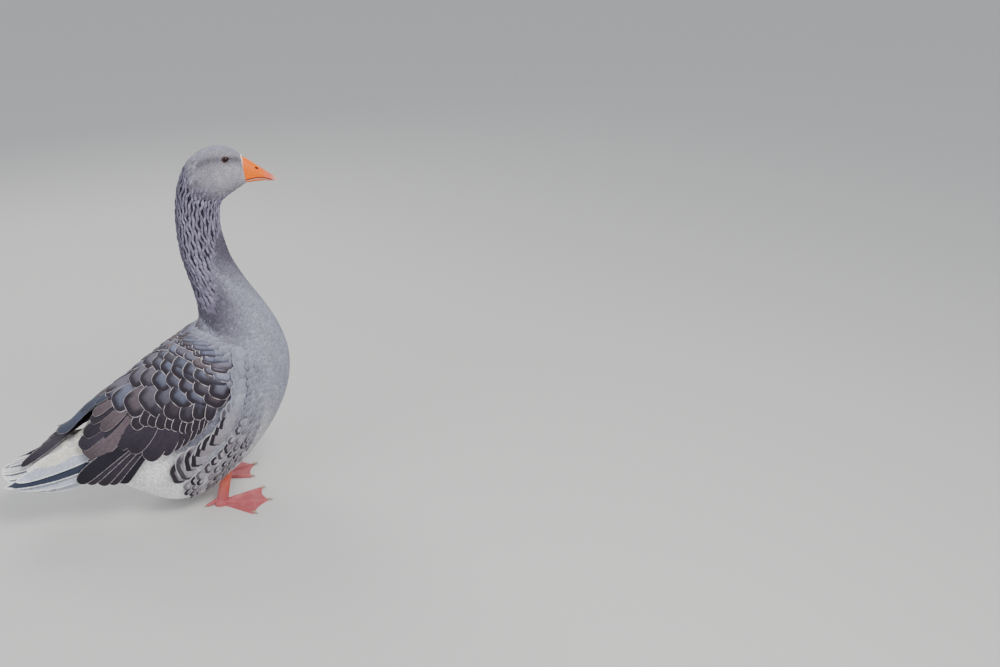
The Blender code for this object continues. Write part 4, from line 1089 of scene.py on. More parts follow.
# The long feathers of each wing: their tips, roots, half widths, colours and how pale the rim is
SECONDARIES = [
    ((4.70, 1.50), (5.60, 1.20), 0.0110, "dark", 0.9),
    ((4.40, 1.50), (5.40, 1.18), 0.0110, "dark", 0.9),
    ((4.10, 1.50), (5.20, 1.16), 0.0115, "dark", 0.9),
    ((3.80, 1.50), (5.00, 1.14), 0.0120, "dark", 0.9),
    ((3.45, 1.50), (4.80, 1.12), 0.0130, "dark", 0.9),
]
QUILLS = {
    "right": [
        ((1.90, 1.22), (3.50, 0.80), 0.0185, "dark", 0.5),
        ((1.15, 0.98), (3.00, 0.60), 0.0185, "dark", 0.35),
        *SECONDARIES,
        ((2.82, 1.48), (4.30, 1.10), 0.0200, "dark", 0.9),
        ((2.38, 1.31), (3.90, 0.95), 0.0185, "dark", 0.7),
        ((0.56, 1.06), (2.60, 0.62), 0.0160, "dark", 0.35),
        ((0.95, 0.82), (2.70, 0.50), 0.0165, "dark", 0.35),
        ((1.35, 0.56), (3.00, 0.34), 0.0165, "dark", 0.35),
        ((0.68, 1.32), (3.00, 0.74), 0.0225, "brown", 0.5),
        ((1.66, 0.80), (3.30, 0.48), 0.0175, "brown", 0.5),
        ((1.50, 0.42), (3.40, 0.22), 0.0150, "brown", 0.6),
        ((1.62, 0.14), (3.40, 0.08), 0.0150, "slate", 0.5),
    ],
    "left": [
        *SECONDARIES,
        ((2.80, 1.48), (4.30, 1.10), 0.0195, "dark", 0.9),
        ((1.90, 1.40), (3.70, 1.02), 0.0195, "dark", 0.7),
        ((0.65, 1.36), (3.50, 0.86), 0.0190, "slate", 0.5),
        ((0.10, 1.10), (3.40, 0.72), 0.0190, "slate", 0.45),
        ((-0.30, 0.84), (3.20, 0.56), 0.0190, "slate", 0.45),
        ((-0.55, 0.58), (3.10, 0.42), 0.0190, "slate", 0.45),
        ((-0.32, 0.30), (3.10, 0.28), 0.0200, "slate", 0.45),
        ((-0.38, -0.08), (3.00, 0.12), 0.0215, "slate", 0.45),
        ((0.90, 0.02), (3.10, 0.06), 0.0180, "slate", 0.45),
        ((1.50, 0.22), (3.40, 0.14), 0.0160, "brown", 0.5),
    ],
}
# How high the tips of the long feathers stand, and how deep the roots of all the wings' feathers lie
QUILL_LIFT, ROOT_SINK = 0.0040, 0.0030
# The primaries of each wing: places of their roots and of the bends over which they leave the body, for
# the uppermost and the lowest, points at their tips, the way their tips face, how high the bends stand,
# how deep the roots lie, and where each one starts between the first and the last
PRIMARY_ROOT = [(3.6, 1.20), (3.2, 1.10)]
PRIMARY_BEND = {"right": [(2.0, 1.62), (1.2, 1.50)], "left": [(1.7, 0.50), (1.0, 0.02)]}
PRIMARY_TIPS = {
    "right": [(-0.196, -0.098, 0.126), (-0.236, -0.087, 0.123), (-0.282, -0.074, 0.131)],
    "left": [(-0.322, 0.030, 0.208), (-0.356, 0.006, 0.184), (-0.396, -0.016, 0.160)],
}
PRIMARY_FACING = {"right": (0, -1, 0.3), "left": (0, -0.35, 1)}
PRIMARY_LIFT = {"right": 0.010, "left": -0.016}
PRIMARY_SINK = {"right": -0.0036, "left": -0.0120}
PRIMARY_SHARES = (0.0, 0.28, 0.52, 0.80, 1.0)
PRIMARY_HALF = 0.0165
PRIMARY_PAINT = {
    "right": ("black", "dark", "dark", "dark", "black"),
    "left": ("brown", "dark", "dark", "dark", "dark"),
}


def along_line(points, share):
    """Places on a line of places, at shares of its length in steps."""
    points = np.asarray(points, float)
    where = np.asarray(share, float) * (len(points) - 1)
    return np.stack([np.interp(where, np.arange(len(points)), column) for column in points.T], -1)


def spaced(line, first, last, offset):
    """Places along a line on the wings, so far apart at its start and at its end."""
    fine = along_line(line, np.linspace(0, 1, 240))
    points = on_wings(fine[:, 0], fine[:, 1])
    run = np.concatenate([[0], np.cumsum(np.linalg.norm(np.diff(points, axis=0), axis=-1))])
    gaps = first + (last - first) * run / run[-1]
    number = np.concatenate([[0], np.cumsum(np.diff(run) / gaps[1:])])
    where = np.arange(offset, number[-1], 1.0)
    places = np.stack([np.interp(where, number, fine[:, k]) for k in (0, 1)], -1)
    return places, np.interp(where, number, gaps)


def wing_row(side, tips, half, step, lift, outline, tilt=0.0016, loose=0.02):
    """Feathers from their tips on the dressed body, on the side that is 1 for the right."""
    count = len(tips)
    tips = tips + loose * chance(*tips.shape) * (1.0, 0.35)
    roots = tips + np.asarray(step) * uneven(0.05, count, 1)
    half = half * uneven(0.05, count)
    share = outline[:, 0]
    rise = np.sin(share * np.pi / 2)
    heights = -ROOT_SINK * (1 - rise) + lift * rise - 0.22 * lift * smooth(0.84, 1.0, share)
    heights = heights * uneven(0.08, count, 1)
    mirror = np.array([1.0, side])
    path = straight(roots * mirror, tips * mirror, outline)
    grid, facing = laid(
        *path, half, outline, heights, FINE_COLUMNS, on_wings, 0.05 * half, tilt * side * np.ones(count)
    )
    return grid, facing, half


def primaries(name):
    """The long outer feathers of one wing, which leave the body at their bend."""
    side = SIDES[name]
    share = np.array(PRIMARY_SHARES)
    mirror = np.array([1.0, side])
    root = along_line(PRIMARY_ROOT, share) * mirror
    bend = along_line(PRIMARY_BEND[name], share) * mirror
    _, _, normal = slopes(root[:, 0], root[:, 1], on_wings)
    start = on_wings(root[:, 0], root[:, 1], PRIMARY_SINK[name])
    middle = on_wings(bend[:, 0], bend[:, 1], PRIMARY_LIFT[name])
    tip = along_line(PRIMARY_TIPS[name], share) + (SHIFT, 0, 0)
    u = LONG[:, 0][None, :, None]
    centres = start[:, None] * (1 - u) ** 2 + middle[:, None] * 2 * u * (1 - u) + tip[:, None] * u**2
    facing = unit(normal[:, None] * (1 - u) + unit(np.array(PRIMARY_FACING[name], float)) * u)
    centres = centres + facing * np.linspace(-0.002, 0.002, len(share))[:, None, None]
    half = np.full(len(share), PRIMARY_HALF)
    return freed(centres, facing, half, LONG, FINE_COLUMNS, 0.0012), facing, half


def shades(names, spread=0.07):
    """A row of named colours, each a little varied."""
    return varied(np.array([PAINT[name] for name in names]), spread)


def rims(count, pale):
    """Cream rims, so pale."""
    pale = np.broadcast_to(np.asarray(pale, float).reshape(-1, 1), (count, 1))
    return varied(PAINT["dark"] + (PAINT["cream"] - PAINT["dark"]) * pale, 0.06)


def make_quills(name, look):
    """The primaries, secondaries and tertials of one wing."""
    side = SIDES[name]
    rows = QUILLS[name]
    total = len(PRIMARY_SHARES) + len(rows)
    grid, facing, half = primaries(name)
    sets = [feather_set(
        grid, facing, half, LONG, FINE_COLUMNS, shades(PRIMARY_PAINT[name]), rims(len(half), 0.75),
        cells(0, len(half), total), 0.25 * side,
    )]
    for k, (tip, root, wide, paint, pale) in enumerate(rows):
        step = np.subtract(root, tip)
        lift = QUILL_LIFT * (0.45 + 0.75 * k / len(rows))
        grid, facing, half = wing_row(side, np.array([tip]), wide, step, lift, LONG, -0.0012, 0.0)
        sets.append(feather_set(
            grid, facing, half, LONG, FINE_COLUMNS, shades((paint,)), rims(1, pale),
            cells(len(PRIMARY_SHARES) + k, 1, total), 0.2 * side,
        ))
    finish_piece(join_feathers("wing_quills_" + name, sets), look, "plumage_dark", "wing_" + name)


def covert_tints(count, band, dark):
    """Slate and brown feathers with a dark band inside the rim, so strong, and so dark in the whole."""
    warm = draw.random((count, 1)) ** 1.5
    tint = PAINT["sheen"] * (1 - warm) + PAINT["warm"] * warm
    tint = tint + dark * (PAINT["dark"] - tint)
    tint = varied(tint, 0.10)
    return np.column_stack([tint, band * (1 + 0.08 * draw.standard_normal(count)).clip(0.6, 1.15)])


def make_coverts(name, looks):
    """The coverts and scapulars of one wing, and the small rows over its shoulder."""
    side = SIDES[name]
    rows = list(COVERT_ROWS)
    last = rows[-1]
    for k in range(1, SHOULDER_ROWS + 1):
        share = k / SHOULDER_ROWS
        mix = np.linspace(0, 1, 9)
        line = along_line(last[0], mix) * (1 - share) + along_line(SHOULDER, mix) * share
        gaps = (0.026 - 0.010 * share, 0.020 - 0.006 * share)
        step = np.array(last[3]) * (1 - 0.42 * share)
        rows.append((line, gaps, 1.0, step, last[4] - 0.0026 * share, 0.8 - 0.35 * share, 0.0))
    placed = [spaced(line, *gaps, 0.3 + 0.5 * (k % 2)) for k, (line, gaps, *_) in enumerate(rows)]
    groups = {"coverts": range(LARGE_ROWS), "shoulder": range(LARGE_ROWS, len(rows))}
    for label, chosen in groups.items():
        total, first, sets = sum(len(placed[k][0]) for k in chosen), 0, []
        for k in chosen:
            line, gaps, ratio, step, lift, band, dark = rows[k]
            tips, gap = placed[k]
            outline = FLAT if k >= FLAT_ROWS else BLUNT
            near = smooth(-0.9, 0.1, tips[:, 0] - wing_front(tips[:, 1]))
            near = np.maximum(near, smooth(6.0, 6.6, tips[:, 0]) * smooth(1.15, 1.35, tips[:, 1]))
            lifts = (lift * (1 - 0.75 * near))[:, None]
            grid, facing, half = wing_row(side, tips, ratio * gap, step, lifts, outline)
            near = 0.8 * near[:, None]
            tint = covert_tints(len(tips), band, dark)
            tint[:, :3] += near * (PAINT["breast"] - tint[:, :3])
            tint[:, 3:] *= 1 - near
            rim = rims(len(tips), 1.0 - 0.15 * dark)
            rim += near * (PAINT["breast"] * 1.15 - rim)
            sets.append(feather_set(
                grid, facing, half, outline, FINE_COLUMNS, tint, rim, cells(first, len(tips), total)
            ))
            first += len(tips)
        finish_piece(join_feathers(f"wing_{label}_{name}", sets), looks[label], "plumage_brown")


# Flanks


# The upper edge of the flank's feathers, which lap over the wing, as turns at places t
FLANK_EDGE = [
    (3.3, 1.50), (3.75, 1.43), (4.3, 1.37), (5.0, 1.35), (5.6, 1.34), (6.5, 1.30), (7.3, 1.20), (8.2, 1.10),
]
# How high the flank's feathers stand over the wing, and half the width of the largest
FLANK_LAP = 0.0050
FLANK_HALF = 0.0380
# Where they grow: the rearmost, the step to the next ones and how many, then across them half widths,
# for the largest of 1, and the step round the body to each
FLANK_START, FLANK_STEP, FLANK_COUNT = 3.26, 0.285, 18
FLANK_ACROSS = [(1.0, 0.25), (0.48, 0.31), (0.42, 0.16), (0.38, 0.14), (0.36, 0.12), (0.34, 0.12)]
# The way from a flank feather's tip to its root, for the largest: the rearmost and the others
FLANK_LIE = np.array([(1.0, 0.08), (1.0, 0.30)])


def on_flanks(t, turn, out=0.0):
    """Points over the body that rise onto the wings above the flanks."""
    t, turn, out = np.broadcast_arrays(np.asarray(t, float), np.asarray(turn, float), out)
    low = smooth(1.45, 1.85, folded(turn))[..., None]
    return on_wings(t, turn, out + FLANK_LAP) * (1 - low) + on_body(t, turn, out) * low


def make_flank(name, look):
    """The pale feathers with dark crescents that lap over the wing's lower edge."""
    side = SIDES[name]
    tips, sizes, bars = [], [], []
    for k in range(FLANK_COUNT):
        t = FLANK_START + FLANK_STEP * k
        size = 1.0 - 0.45 * smooth(4.4, 7.0, t)
        turn = np.interp(t, *np.array(FLANK_EDGE).T)
        fade = 1 - 0.75 * smooth(5.2, 6.6, t)
        for j, (wide, gap) in enumerate(FLANK_ACROSS):
            turn += gap * (0.35 + 0.65 * size)
            tips.append((t + 0.03 * j + 0.13 * (j % 2), turn))
            sizes.append(size * wide)
            bars.append(fade * (1.0 - 0.06 * j))
    tips, sizes, bars = np.array(tips), np.array(sizes), np.array(bars)
    count = len(tips)
    tips += 0.035 * chance(*tips.shape) * (1.0, 0.6)
    lie = FLANK_LIE[0] + (FLANK_LIE[1] - FLANK_LIE[0]) * smooth(3.4, 4.6, tips[:, :1])
    roots = tips + lie * (0.36 + 0.60 * sizes[:, None])
    half = FLANK_HALF * sizes * uneven(0.08, count)
    share = CRESCENT[:, 0]
    front = smooth(6.0, 7.4, tips[:, 0])[:, None]
    rear = 1 - smooth(3.2, 4.0, tips[:, :1])
    lift = 0.0060 - 0.0030 * front + 0.0020 * rear + 0.0035 * smooth(0.6, 0.95, sizes)[:, None]
    heights = -0.0035 * (1 - share) ** 1.2 + lift * share**1.3 - 0.0008 * smooth(0.88, 1, share)
    mirror = np.array([1.0, side])
    grid, facing = laid(
        *straight(roots * mirror, tips * mirror, CRESCENT), half, CRESCENT, heights, FINE_COLUMNS, on_flanks,
        0.14 * half, 0.0014 * side * np.ones(count),
    )
    front = smooth(5.0, 6.8, tips[:, 0])[:, None]
    warm = draw.random((count, 1)) ** 2 * (1 - front)
    tint = PAINT["flank"] * (1 - 0.2 * (sizes[:, None] > 0.6))
    tint = tint + (PAINT["breast"] - tint) * front
    tint = varied(tint + 0.5 * warm * (PAINT["warm"] - tint), 0.06)
    rough = 0.12 + 0.16 * (sizes < 0.6)
    tint = np.column_stack([tint, bars * (1 + rough * draw.standard_normal(count)).clip(0.3, 1.2)])
    rim = varied(PAINT["white"] * 0.62 + (PAINT["breast"] * 1.1 - PAINT["white"] * 0.62) * front, 0.05)
    one = feather_set(
        grid, facing, half, CRESCENT, FINE_COLUMNS, tint, rim, cells(0, count, count),
        grain=0.35 + 0.65 * sizes,
    )
    finish_piece(join_feathers("flank_" + name, [one]), look, "plumage_grey")


# Tail


# The fan: how far back it reaches, how far it opens, where its feathers start and how wide apart, how
# far its sides droop and how much shorter they are, half widths, how many there are, and the slate ones
TAIL_REACH = 0.165
TAIL_FAN = math.radians(19)
TAIL_START, TAIL_SPREAD = 0.040, 0.034
TAIL_DROOP, TAIL_ROUNDING = 0.018, 0.30
RECTRIX_HALF, TAIL_SIDE_HALF = 0.0145, 0.0150
RECTRICES = 16
SLATE_RECTRICES = (2, 5, 7, 10, 12, 14)
# Tiers of tail coverts, over (1) and under (-1) the tail: side, how many, how far back roots and tips
# lie, their heights at the middle and at the sides, half the width they spread over, and half widths.
TAIL_COVERTS = [
    (-1, 11, (0.030, 0.130), (0.032, 0.013), (0.030, 0.036), (0.040, 0.055), 0.018),
    (-1, 11, (0.018, 0.108), (0.038, 0.022), (0.034, 0.044), (0.040, 0.057), 0.018),
    (-1, 10, (0.004, 0.084), (0.046, 0.035), (0.037, 0.050), (0.040, 0.057), 0.018),
    (-1, 10, (-0.012, 0.060), (0.054, 0.046), (0.040, 0.052), (0.040, 0.057), 0.018),
    (1, 11, (0.024, 0.108), (0.018, 0.0060), (0.004, -0.011), (0.034, 0.056), 0.013),
    (1, 11, (0.014, 0.086), (0.022, 0.0105), (0.008, -0.005), (0.034, 0.054), 0.013),
    (1, 10, (0.004, 0.066), (0.028, 0.016), (0.012, 0.002), (0.032, 0.051), 0.013),
    (1, 10, (-0.010, 0.048), (0.033, 0.022), (0.016, 0.008), (0.032, 0.050), 0.013),
]
# The long feathers along each side of the tail's base, lowest first: degrees up from level that each
# faces, how far back, how high and how far out its tip lies, and its colour
TAIL_SIDES = [
    (-58, 0.100, -0.030, 0.044, "frost"), (-34, 0.122, -0.024, 0.052, "frost"),
    (-12, 0.142, -0.017, 0.058, "frost"), (8, 0.152, -0.011, 0.060, "slate"),
    (26, 0.128, -0.006, 0.056, "frost"), (44, 0.104, 0.000, 0.048, "ivory"),
]


def tail_rectrices():
    """The fan of the tail's own feathers, slate in the middle with white edges."""
    root, along, upward, sideways = tail_frame()
    share = np.linspace(-1, 1, RECTRICES)[:, None]
    out = np.abs(share)
    start = root + along * TAIL_START + sideways * TAIL_SPREAD * share + upward * (0.0018 - 0.006 * out)
    turned = along * np.cos(TAIL_FAN * share) + sideways * np.sin(TAIL_FAN * share)
    end = start + turned * (TAIL_REACH - TAIL_START) * (1 - TAIL_ROUNDING * out**2)
    end = end - upward * TAIL_DROOP * out**2
    u = POINTED[:, 0][None, :, None]
    centres = start[:, None] * (1 - u) + end[:, None] * u
    facing = unit(upward + sideways * 0.35 * share)[:, None] * np.ones((1, len(POINTED), 1))
    tilt = 0.05 * np.sign(share)
    facing = unit(facing + tilt[:, None] * sideways)
    half = np.full(RECTRICES, RECTRIX_HALF)
    return freed(centres, facing, half, POINTED, FINE_COLUMNS, 0.0012), facing, half


def tail_coverts(side, count, reaches, heights, side_heights, spreads, wide):
    """One tier of coverts over or under the tail."""
    root, along, upward, sideways = tail_frame()
    share = np.linspace(-1, 1, count)[:, None] + 0.03 * draw.standard_normal((count, 1))
    out = np.abs(share)
    ends = []
    for reach, middle, edge, spread in zip(reaches, heights, side_heights, spreads):
        height = middle + (edge - middle) * out**2
        ends.append(root + along * reach + upward * side * height + sideways * spread * share)
    u = ROUND[:, 0][None, :, None]
    centres = ends[0][:, None] * (1 - u) + ends[1][:, None] * u
    facing = unit(upward * side + sideways * 0.7 * share)
    belly = 0.004 * np.sin(np.pi * u)
    centres = centres + facing[:, None] * belly
    facing = facing[:, None] * np.ones((1, len(ROUND), 1))
    half = np.full(count, wide)
    return freed(centres, facing, half, ROUND, FINE_COLUMNS, 0.0022), facing, half


def tail_sides():
    """The long feathers along both sides of the tail's base."""
    root, along, upward, sideways = tail_frame()
    lean, reach, height, spread = np.array([row[:-1] for row in TAIL_SIDES]).T[:, :, None]
    lean = np.radians(lean)
    facing = np.cos(lean) * sideways + np.sin(lean) * upward
    start = root - 0.035 * along + (0.050 * np.sin(lean) - 0.0135) * upward + 0.063 * np.cos(lean) * sideways
    bulge = root + 0.035 * along + (0.052 * np.sin(lean) - 0.0155) * upward + 0.067 * np.cos(lean) * sideways
    end = root + reach * along + height * upward + spread * sideways
    u = POINTED[:, 0][None, :, None]
    centres = start[:, None] * (1 - u) ** 2 + (2 * bulge - (start + end) / 2)[:, None] * 2 * u * (1 - u)
    centres = centres + end[:, None] * u**2
    flat = unit(upward + 0.7 * sideways)
    facing = unit(facing[:, None] * (1 - u) + flat * u)
    mirrored = 2 * (centres @ sideways - root @ sideways)[..., None] * sideways
    turned = 2 * (facing @ sideways)[..., None] * sideways
    centres, facing = np.concatenate([centres, centres - mirrored]), np.concatenate([facing, facing - turned])
    half = np.full(len(centres), TAIL_SIDE_HALF)
    return freed(centres, facing, half, POINTED, FINE_COLUMNS, 0.0020), facing, half


def make_tail(look):
    """The tail's fan with its white coverts above and below, and long feathers along its sides."""
    total = RECTRICES + sum(row[1] for row in TAIL_COVERTS) + 2 * len(TAIL_SIDES)
    grid, facing, half = tail_rectrices()
    pale = np.where(np.isin(np.arange(RECTRICES), SLATE_RECTRICES), 0.08, 0.66)[:, None]
    tint = varied(PAINT["slate"] * (1 - pale) + PAINT["white"] * pale, 0.08)
    rim = varied(PAINT["white"] * np.ones((RECTRICES, 1)), 0.03)
    sets = [feather_set(grid, facing, half, POINTED, FINE_COLUMNS, tint, rim, cells(0, RECTRICES, total))]
    first = RECTRICES
    for row in TAIL_COVERTS:
        grid, facing, half = tail_coverts(*row)
        white = varied(PAINT["white"] * np.ones((len(half), 1)), 0.03)
        # The coverts' faces are painted about a quarter darker than their white rims, as shade between the
        # overlapping white feathers.
        sets.append(feather_set(
            grid, facing, half, ROUND, FINE_COLUMNS, white * 0.74, white, cells(first, len(half), total)
        ))
        first += len(half)
    grid, facing, half = tail_sides()
    tint = np.tile(shades([row[-1] for row in TAIL_SIDES], 0.04), (2, 1))
    white = PAINT["white"] * np.ones((len(half), 1))
    sets.append(feather_set(
        grid, facing, half, POINTED, FINE_COLUMNS, tint, white, cells(first, len(half), total)
    ))
    finish_piece(join_feathers("tail_feathers", sets), look, "plumage_white", "tail")


# Eyes


def eye_places():
    """The middle of each eye, from the frame, and the way it faces."""
    found = {}
    for name, side in SIDES.items():
        low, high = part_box("eye_" + name)
        facing = unit(np.array([EYE_AXIS[0], -side * EYE_AXIS[1], EYE_AXIS[2]]))
        found[name] = (np.array((low + high) / 2), facing)
    return found


EYES = eye_places()


def eye_frame(name):
    """The middle of an eye, the way it faces, its level length and its upper side."""
    centre, axis = EYES[name]
    along = unit(EYE_LEVEL - axis * np.dot(axis, EYE_LEVEL))
    return centre, axis, along, np.cross(axis, along)


def make_eye(name, look):
    """An eyeball, with how far each point lies from the pupil's middle for its colours."""
    centre, axis, along, up = eye_frame(name)
    angle = np.linspace(np.pi, 0, 40)[1:-1]
    turn = np.linspace(0, 2 * np.pi, EYE_SIDES, endpoint=False)[None, :, None]
    wide, deep = np.sin(angle)[:, None, None] * EYE_RADIUS, np.cos(angle)[:, None, None] * EYE_RADIUS
    rings = centre + along * np.cos(turn) * wide + up * np.sin(turn) * wide + axis * deep
    away = np.concatenate([np.repeat(angle, EYE_SIDES), [np.pi, 0]])
    poles = [centre - axis * EYE_RADIUS, centre + axis * EYE_RADIUS]
    ball = ring_mesh("eyeball_" + name, rings, poles, plan=np.stack([away, away * 0, away * 0], -1))
    finish_piece(ball, look, "eye", "eye_" + name)


def eye_material():
    """A dark pupil in a red-brown iris under a wet surface."""
    made, tree, shader = new_material(
        "wet_eye", 0.10, Specular_IOR_Level=0.25, Coat_Weight=0.12, Coat_Roughness=0.04
    )
    away = plan_parts(tree)[0]
    iris = mixed(noise(tree, 1500.0), srgb(24, 9, 8), srgb(44, 16, 14))
    colour = mixed(ramp(away, 0.40, 0.46), PUPIL_BLACK, iris)
    dress(shader, mixed(ramp(away, 0.72, 0.86), colour, srgb(28, 16, 14)))
    return made


def make_lids(name, look):
    """The bare rim of the lids: a soft rolled oval with fine bumps."""
    centre, axis, along, up = eye_frame(name)
    turn = np.linspace(0, 2 * np.pi, 64, endpoint=False)
    spoke = unit(along * np.cos(turn)[:, None] + up * np.sin(turn)[:, None])
    ring = along * (np.cos(turn) * LID_LENGTH)[:, None] + up * (np.sin(turn) * LID_HEIGHT)[:, None]
    depth = np.sqrt(np.maximum(EYE_RADIUS**2 - (ring**2).sum(-1), 0))
    middle = centre + ring + axis * (depth * 0.35 + 0.0038)[:, None]
    size = LID_ROLL * (1 + 0.10 * np.sin(turn * 17) * np.sin(turn * 5 + 1))
    finish_piece(rolled_mesh("lids_" + name, middle, spoke, axis, size, 14), look, "leg_skin")


# Bill


def bill_rows(table, count):
    """Rows of a mandible's table on a smooth curve, evenly spread."""
    return sections(np.linspace(0, len(table) - 1, count), table)


def mandible(table, upper, count, arch, leaning=True):
    """Rings of a mandible, an arch with a flat face along the mouth, the first leaning like the face."""
    rows = bill_rows(table, count)
    turn = np.linspace(0, np.pi, arch)
    rise = np.sin(turn) ** 0.85
    x = rows[:, :1] + 0 * turn
    high, low = rows[:, 1:2], rows[:, 2:3]
    z = low + (high - low) * rise if upper else high - (high - low) * rise
    y = rows[:, 3:4] * np.cos(turn)
    base = STATIONS[-1]
    lean = (base[0] - base[2]) / (base[1] - base[3])
    if leaning:
        fade = np.linspace(1, 0, count)[:, None] ** 3
        x = x + fade * lean * (z - base[3])
    points = np.stack([x + SHIFT, y, z], -1)
    flat = points[:, [0, -1]].mean(1, keepdims=True)
    aside = points[:, :1] * 0.3 + flat * 0.7, points[:, -1:] * 0.3 + flat * 0.7
    return np.concatenate([points, aside[1], aside[0]], 1)


def bill_material():
    """Orange horn: paler along the top, pink at the tip, with a dark red line of painted shadow along the
    mouth over a pale strip, and painted shade inside the nostrils.

    The plan of a point is how deep in a nostril it lies, its distance from the mouth, and 1 below it.
    """
    made, tree, shader = new_material("bill_horn", 0.45, Specular_IOR_Level=0.3)
    forward, aside, _ = parted(own_place(tree))
    pit, mouth, below = plan_parts(tree)
    colour = mixed(ramp(forward, SHIFT + 0.176, SHIFT + 0.203), srgb(248, 116, 0), srgb(222, 112, 108))
    ridge = ramp(maths("ABSOLUTE", aside), 0.001, 0.006, 0.35, 0.0)
    colour = mixed(ridge, colour, srgb(250, 178, 128))
    mottle = noise(tree, 160.0, 4.0)
    colour = mixed(ramp(mottle, 0.35, 0.7, 0.0, 0.35), colour, srgb(232, 92, 10))
    ragged = plus(mouth, times(minus(mottle, 0.5), 0.0010))
    strip = times(below, ramp(ragged, 0.0030, 0.0042, 1.0, 0.0))
    colour = mixed(strip, colour, srgb(232, 168, 150))
    # Painted shadow: dark red along the mouth, where the halves meet.
    colour = mixed(ramp(ragged, 0.0006, 0.0016, 0.9, 0.0), colour, srgb(132, 36, 20))
    # Painted shade: dark inside the nostrils.
    colour = mixed(ramp(pit, 0.20, 0.7), colour, srgb(70, 14, 10))
    dress(shader, colour, bumped(mottle, 0.0004))
    return made


def nail_material():
    """Pale pink horn, paler towards its tip."""
    made, tree, shader = new_material("nail_horn", 0.28, Coat_Weight=0.3, Coat_Roughness=0.2)
    forward = parted(own_place(tree))[0]
    colour = mixed(ramp(forward, SHIFT + 0.199, SHIFT + 0.209), srgb(214, 124, 112), srgb(228, 176, 164))
    dress(shader, mixed(ramp(noise(tree, 300.0), 0.4, 0.7, 0.0, 0.3), colour, srgb(210, 150, 140)))
    return made


def make_bill():
    """The upper bill with its slit nostrils and ridged edge, the nail, and the lower bill."""
    look = bill_material()
    rings = mandible(UPPER_BILL, True, 110, 97)
    local = rings - (NOSTRIL_X + SHIFT, 0, NOSTRIL_HEIGHT)
    cosine, sine = math.cos(NOSTRIL_SLOPE), math.sin(NOSTRIL_SLOPE)
    along = local[..., 0] * cosine - local[..., 2] * sine
    up = local[..., 0] * sine + local[..., 2] * cosine
    aside = np.abs(rings[..., 1]) > 0.004

    def mound(length, height):
        """How strongly a soft oval round the nostril's middle shows at each point."""
        return aside * np.exp(-((along / length) ** 2) ** 1.5 - ((up / height) ** 2) ** 1.3)

    pit = mound(*PIT)
    rim = mound(*PIT_RIM) - pit
    rings[..., 1] -= np.sign(rings[..., 1]) * (PIT_DEPTH * pit - PIT_RIM_HEIGHT * rim)
    rings[:, :-2, 2] -= 0.0002 * (rim[:, :-2] > 0.5)
    lamella = 0.5 - 0.5 * np.cos(2 * np.pi * (rings[..., 0] - SHIFT) / LAMELLA)
    edge = np.exp(-((rings[..., 2] - rings[:, :1, 2]) / LAMELLA_HEIGHT) ** 2)
    rings[..., 1] *= 1 - LAMELLA_DEPTH * lamella * edge
    mouth = rings[..., 2] - bill_rows(UPPER_BILL, 110)[:, 2:3]
    below = mandible(LOWER_BILL, False, 60, 65)
    mouth_below = bill_rows(LOWER_BILL, 60)[:, 1:2] - below[..., 2]
    zero = mouth_below * 0
    halves = {"upper": (rings, (pit, mouth, pit * 0)), "lower": (below, (zero, mouth_below, zero + 1))}
    for name, (shape, plan) in halves.items():
        plan = np.vstack([np.stack(plan, -1).reshape(-1, 3), np.zeros((2, 3))])
        piece = outward(ring_mesh(name + "_bill", shape, plan=plan))
        finish_piece(piece, look, "bill", "bill_" + name, angle=35)
    rings = mandible(NAIL, True, 24, 49, leaning=False)
    rings[..., 0] += NAIL_GAP
    finish_piece(outward(ring_mesh("nail", rings)), nail_material(), "bill_nail", "bill_nail", angle=60)


def make_bill_rim(look):
    """The bare skin between the bill and the face, pale on the top of the bill and orange lower."""
    turn = np.linspace(-np.pi, np.pi, 96, endpoint=False)
    base = on_body(BILL_BASE - 0.02, turn, -0.0012)
    out = unit(base - base.mean(0))
    size = 0.0010 + 0.0008 * (1 - smooth(0.5, 1.3, folded(turn)))
    rim = rolled_mesh("bill_rim", base, out, unit(np.array([0.98, 0, 0.06])), size, 12)
    finish_piece(outward(rim), look, "bill")


def bill_rim_material():
    """Pink-white skin at the top of the bill's base that turns orange down its sides."""
    made, tree, shader = new_material("bill_rim_skin", 0.5, Subsurface_Weight=0.1, Subsurface_Scale=0.001)
    grain = noise(tree, 500.0, 4.0)
    high = plus(parted(own_place(tree))[2], times(minus(grain, 0.5), 0.004))
    pale = mixed(grain, srgb(238, 204, 198), srgb(248, 226, 220))
    dress(shader, mixed(ramp(high, 0.768, 0.787), srgb(238, 132, 40), pale), bumped(grain, 0.0004))
    return made


def soft_skin(name, first, second, roughness=0.5):
    """Bare pink skin with fine grain."""
    made, tree, shader = new_material(name, roughness, Subsurface_Weight=0.1, Subsurface_Scale=0.001)
    grain = noise(tree, 700.0, 4.0)
    dress(shader, mixed(ramp(grain, 0.3, 0.7), srgb(*first), srgb(*second)), bumped(grain, 0.0004))
    return made


# Legs and feet


def leg_place(side):
    """The hock and the ankle on one side, with one foot a little ahead of the other."""
    step = STRIDE * side
    hock = np.array([HOCK[0] + step + SHIFT, side * HOCK[1], HOCK[2]])
    ankle = np.array([ANKLE[0] + step + SHIFT, side * ANKLE[1], ANKLE[2]])
    return hock, ankle


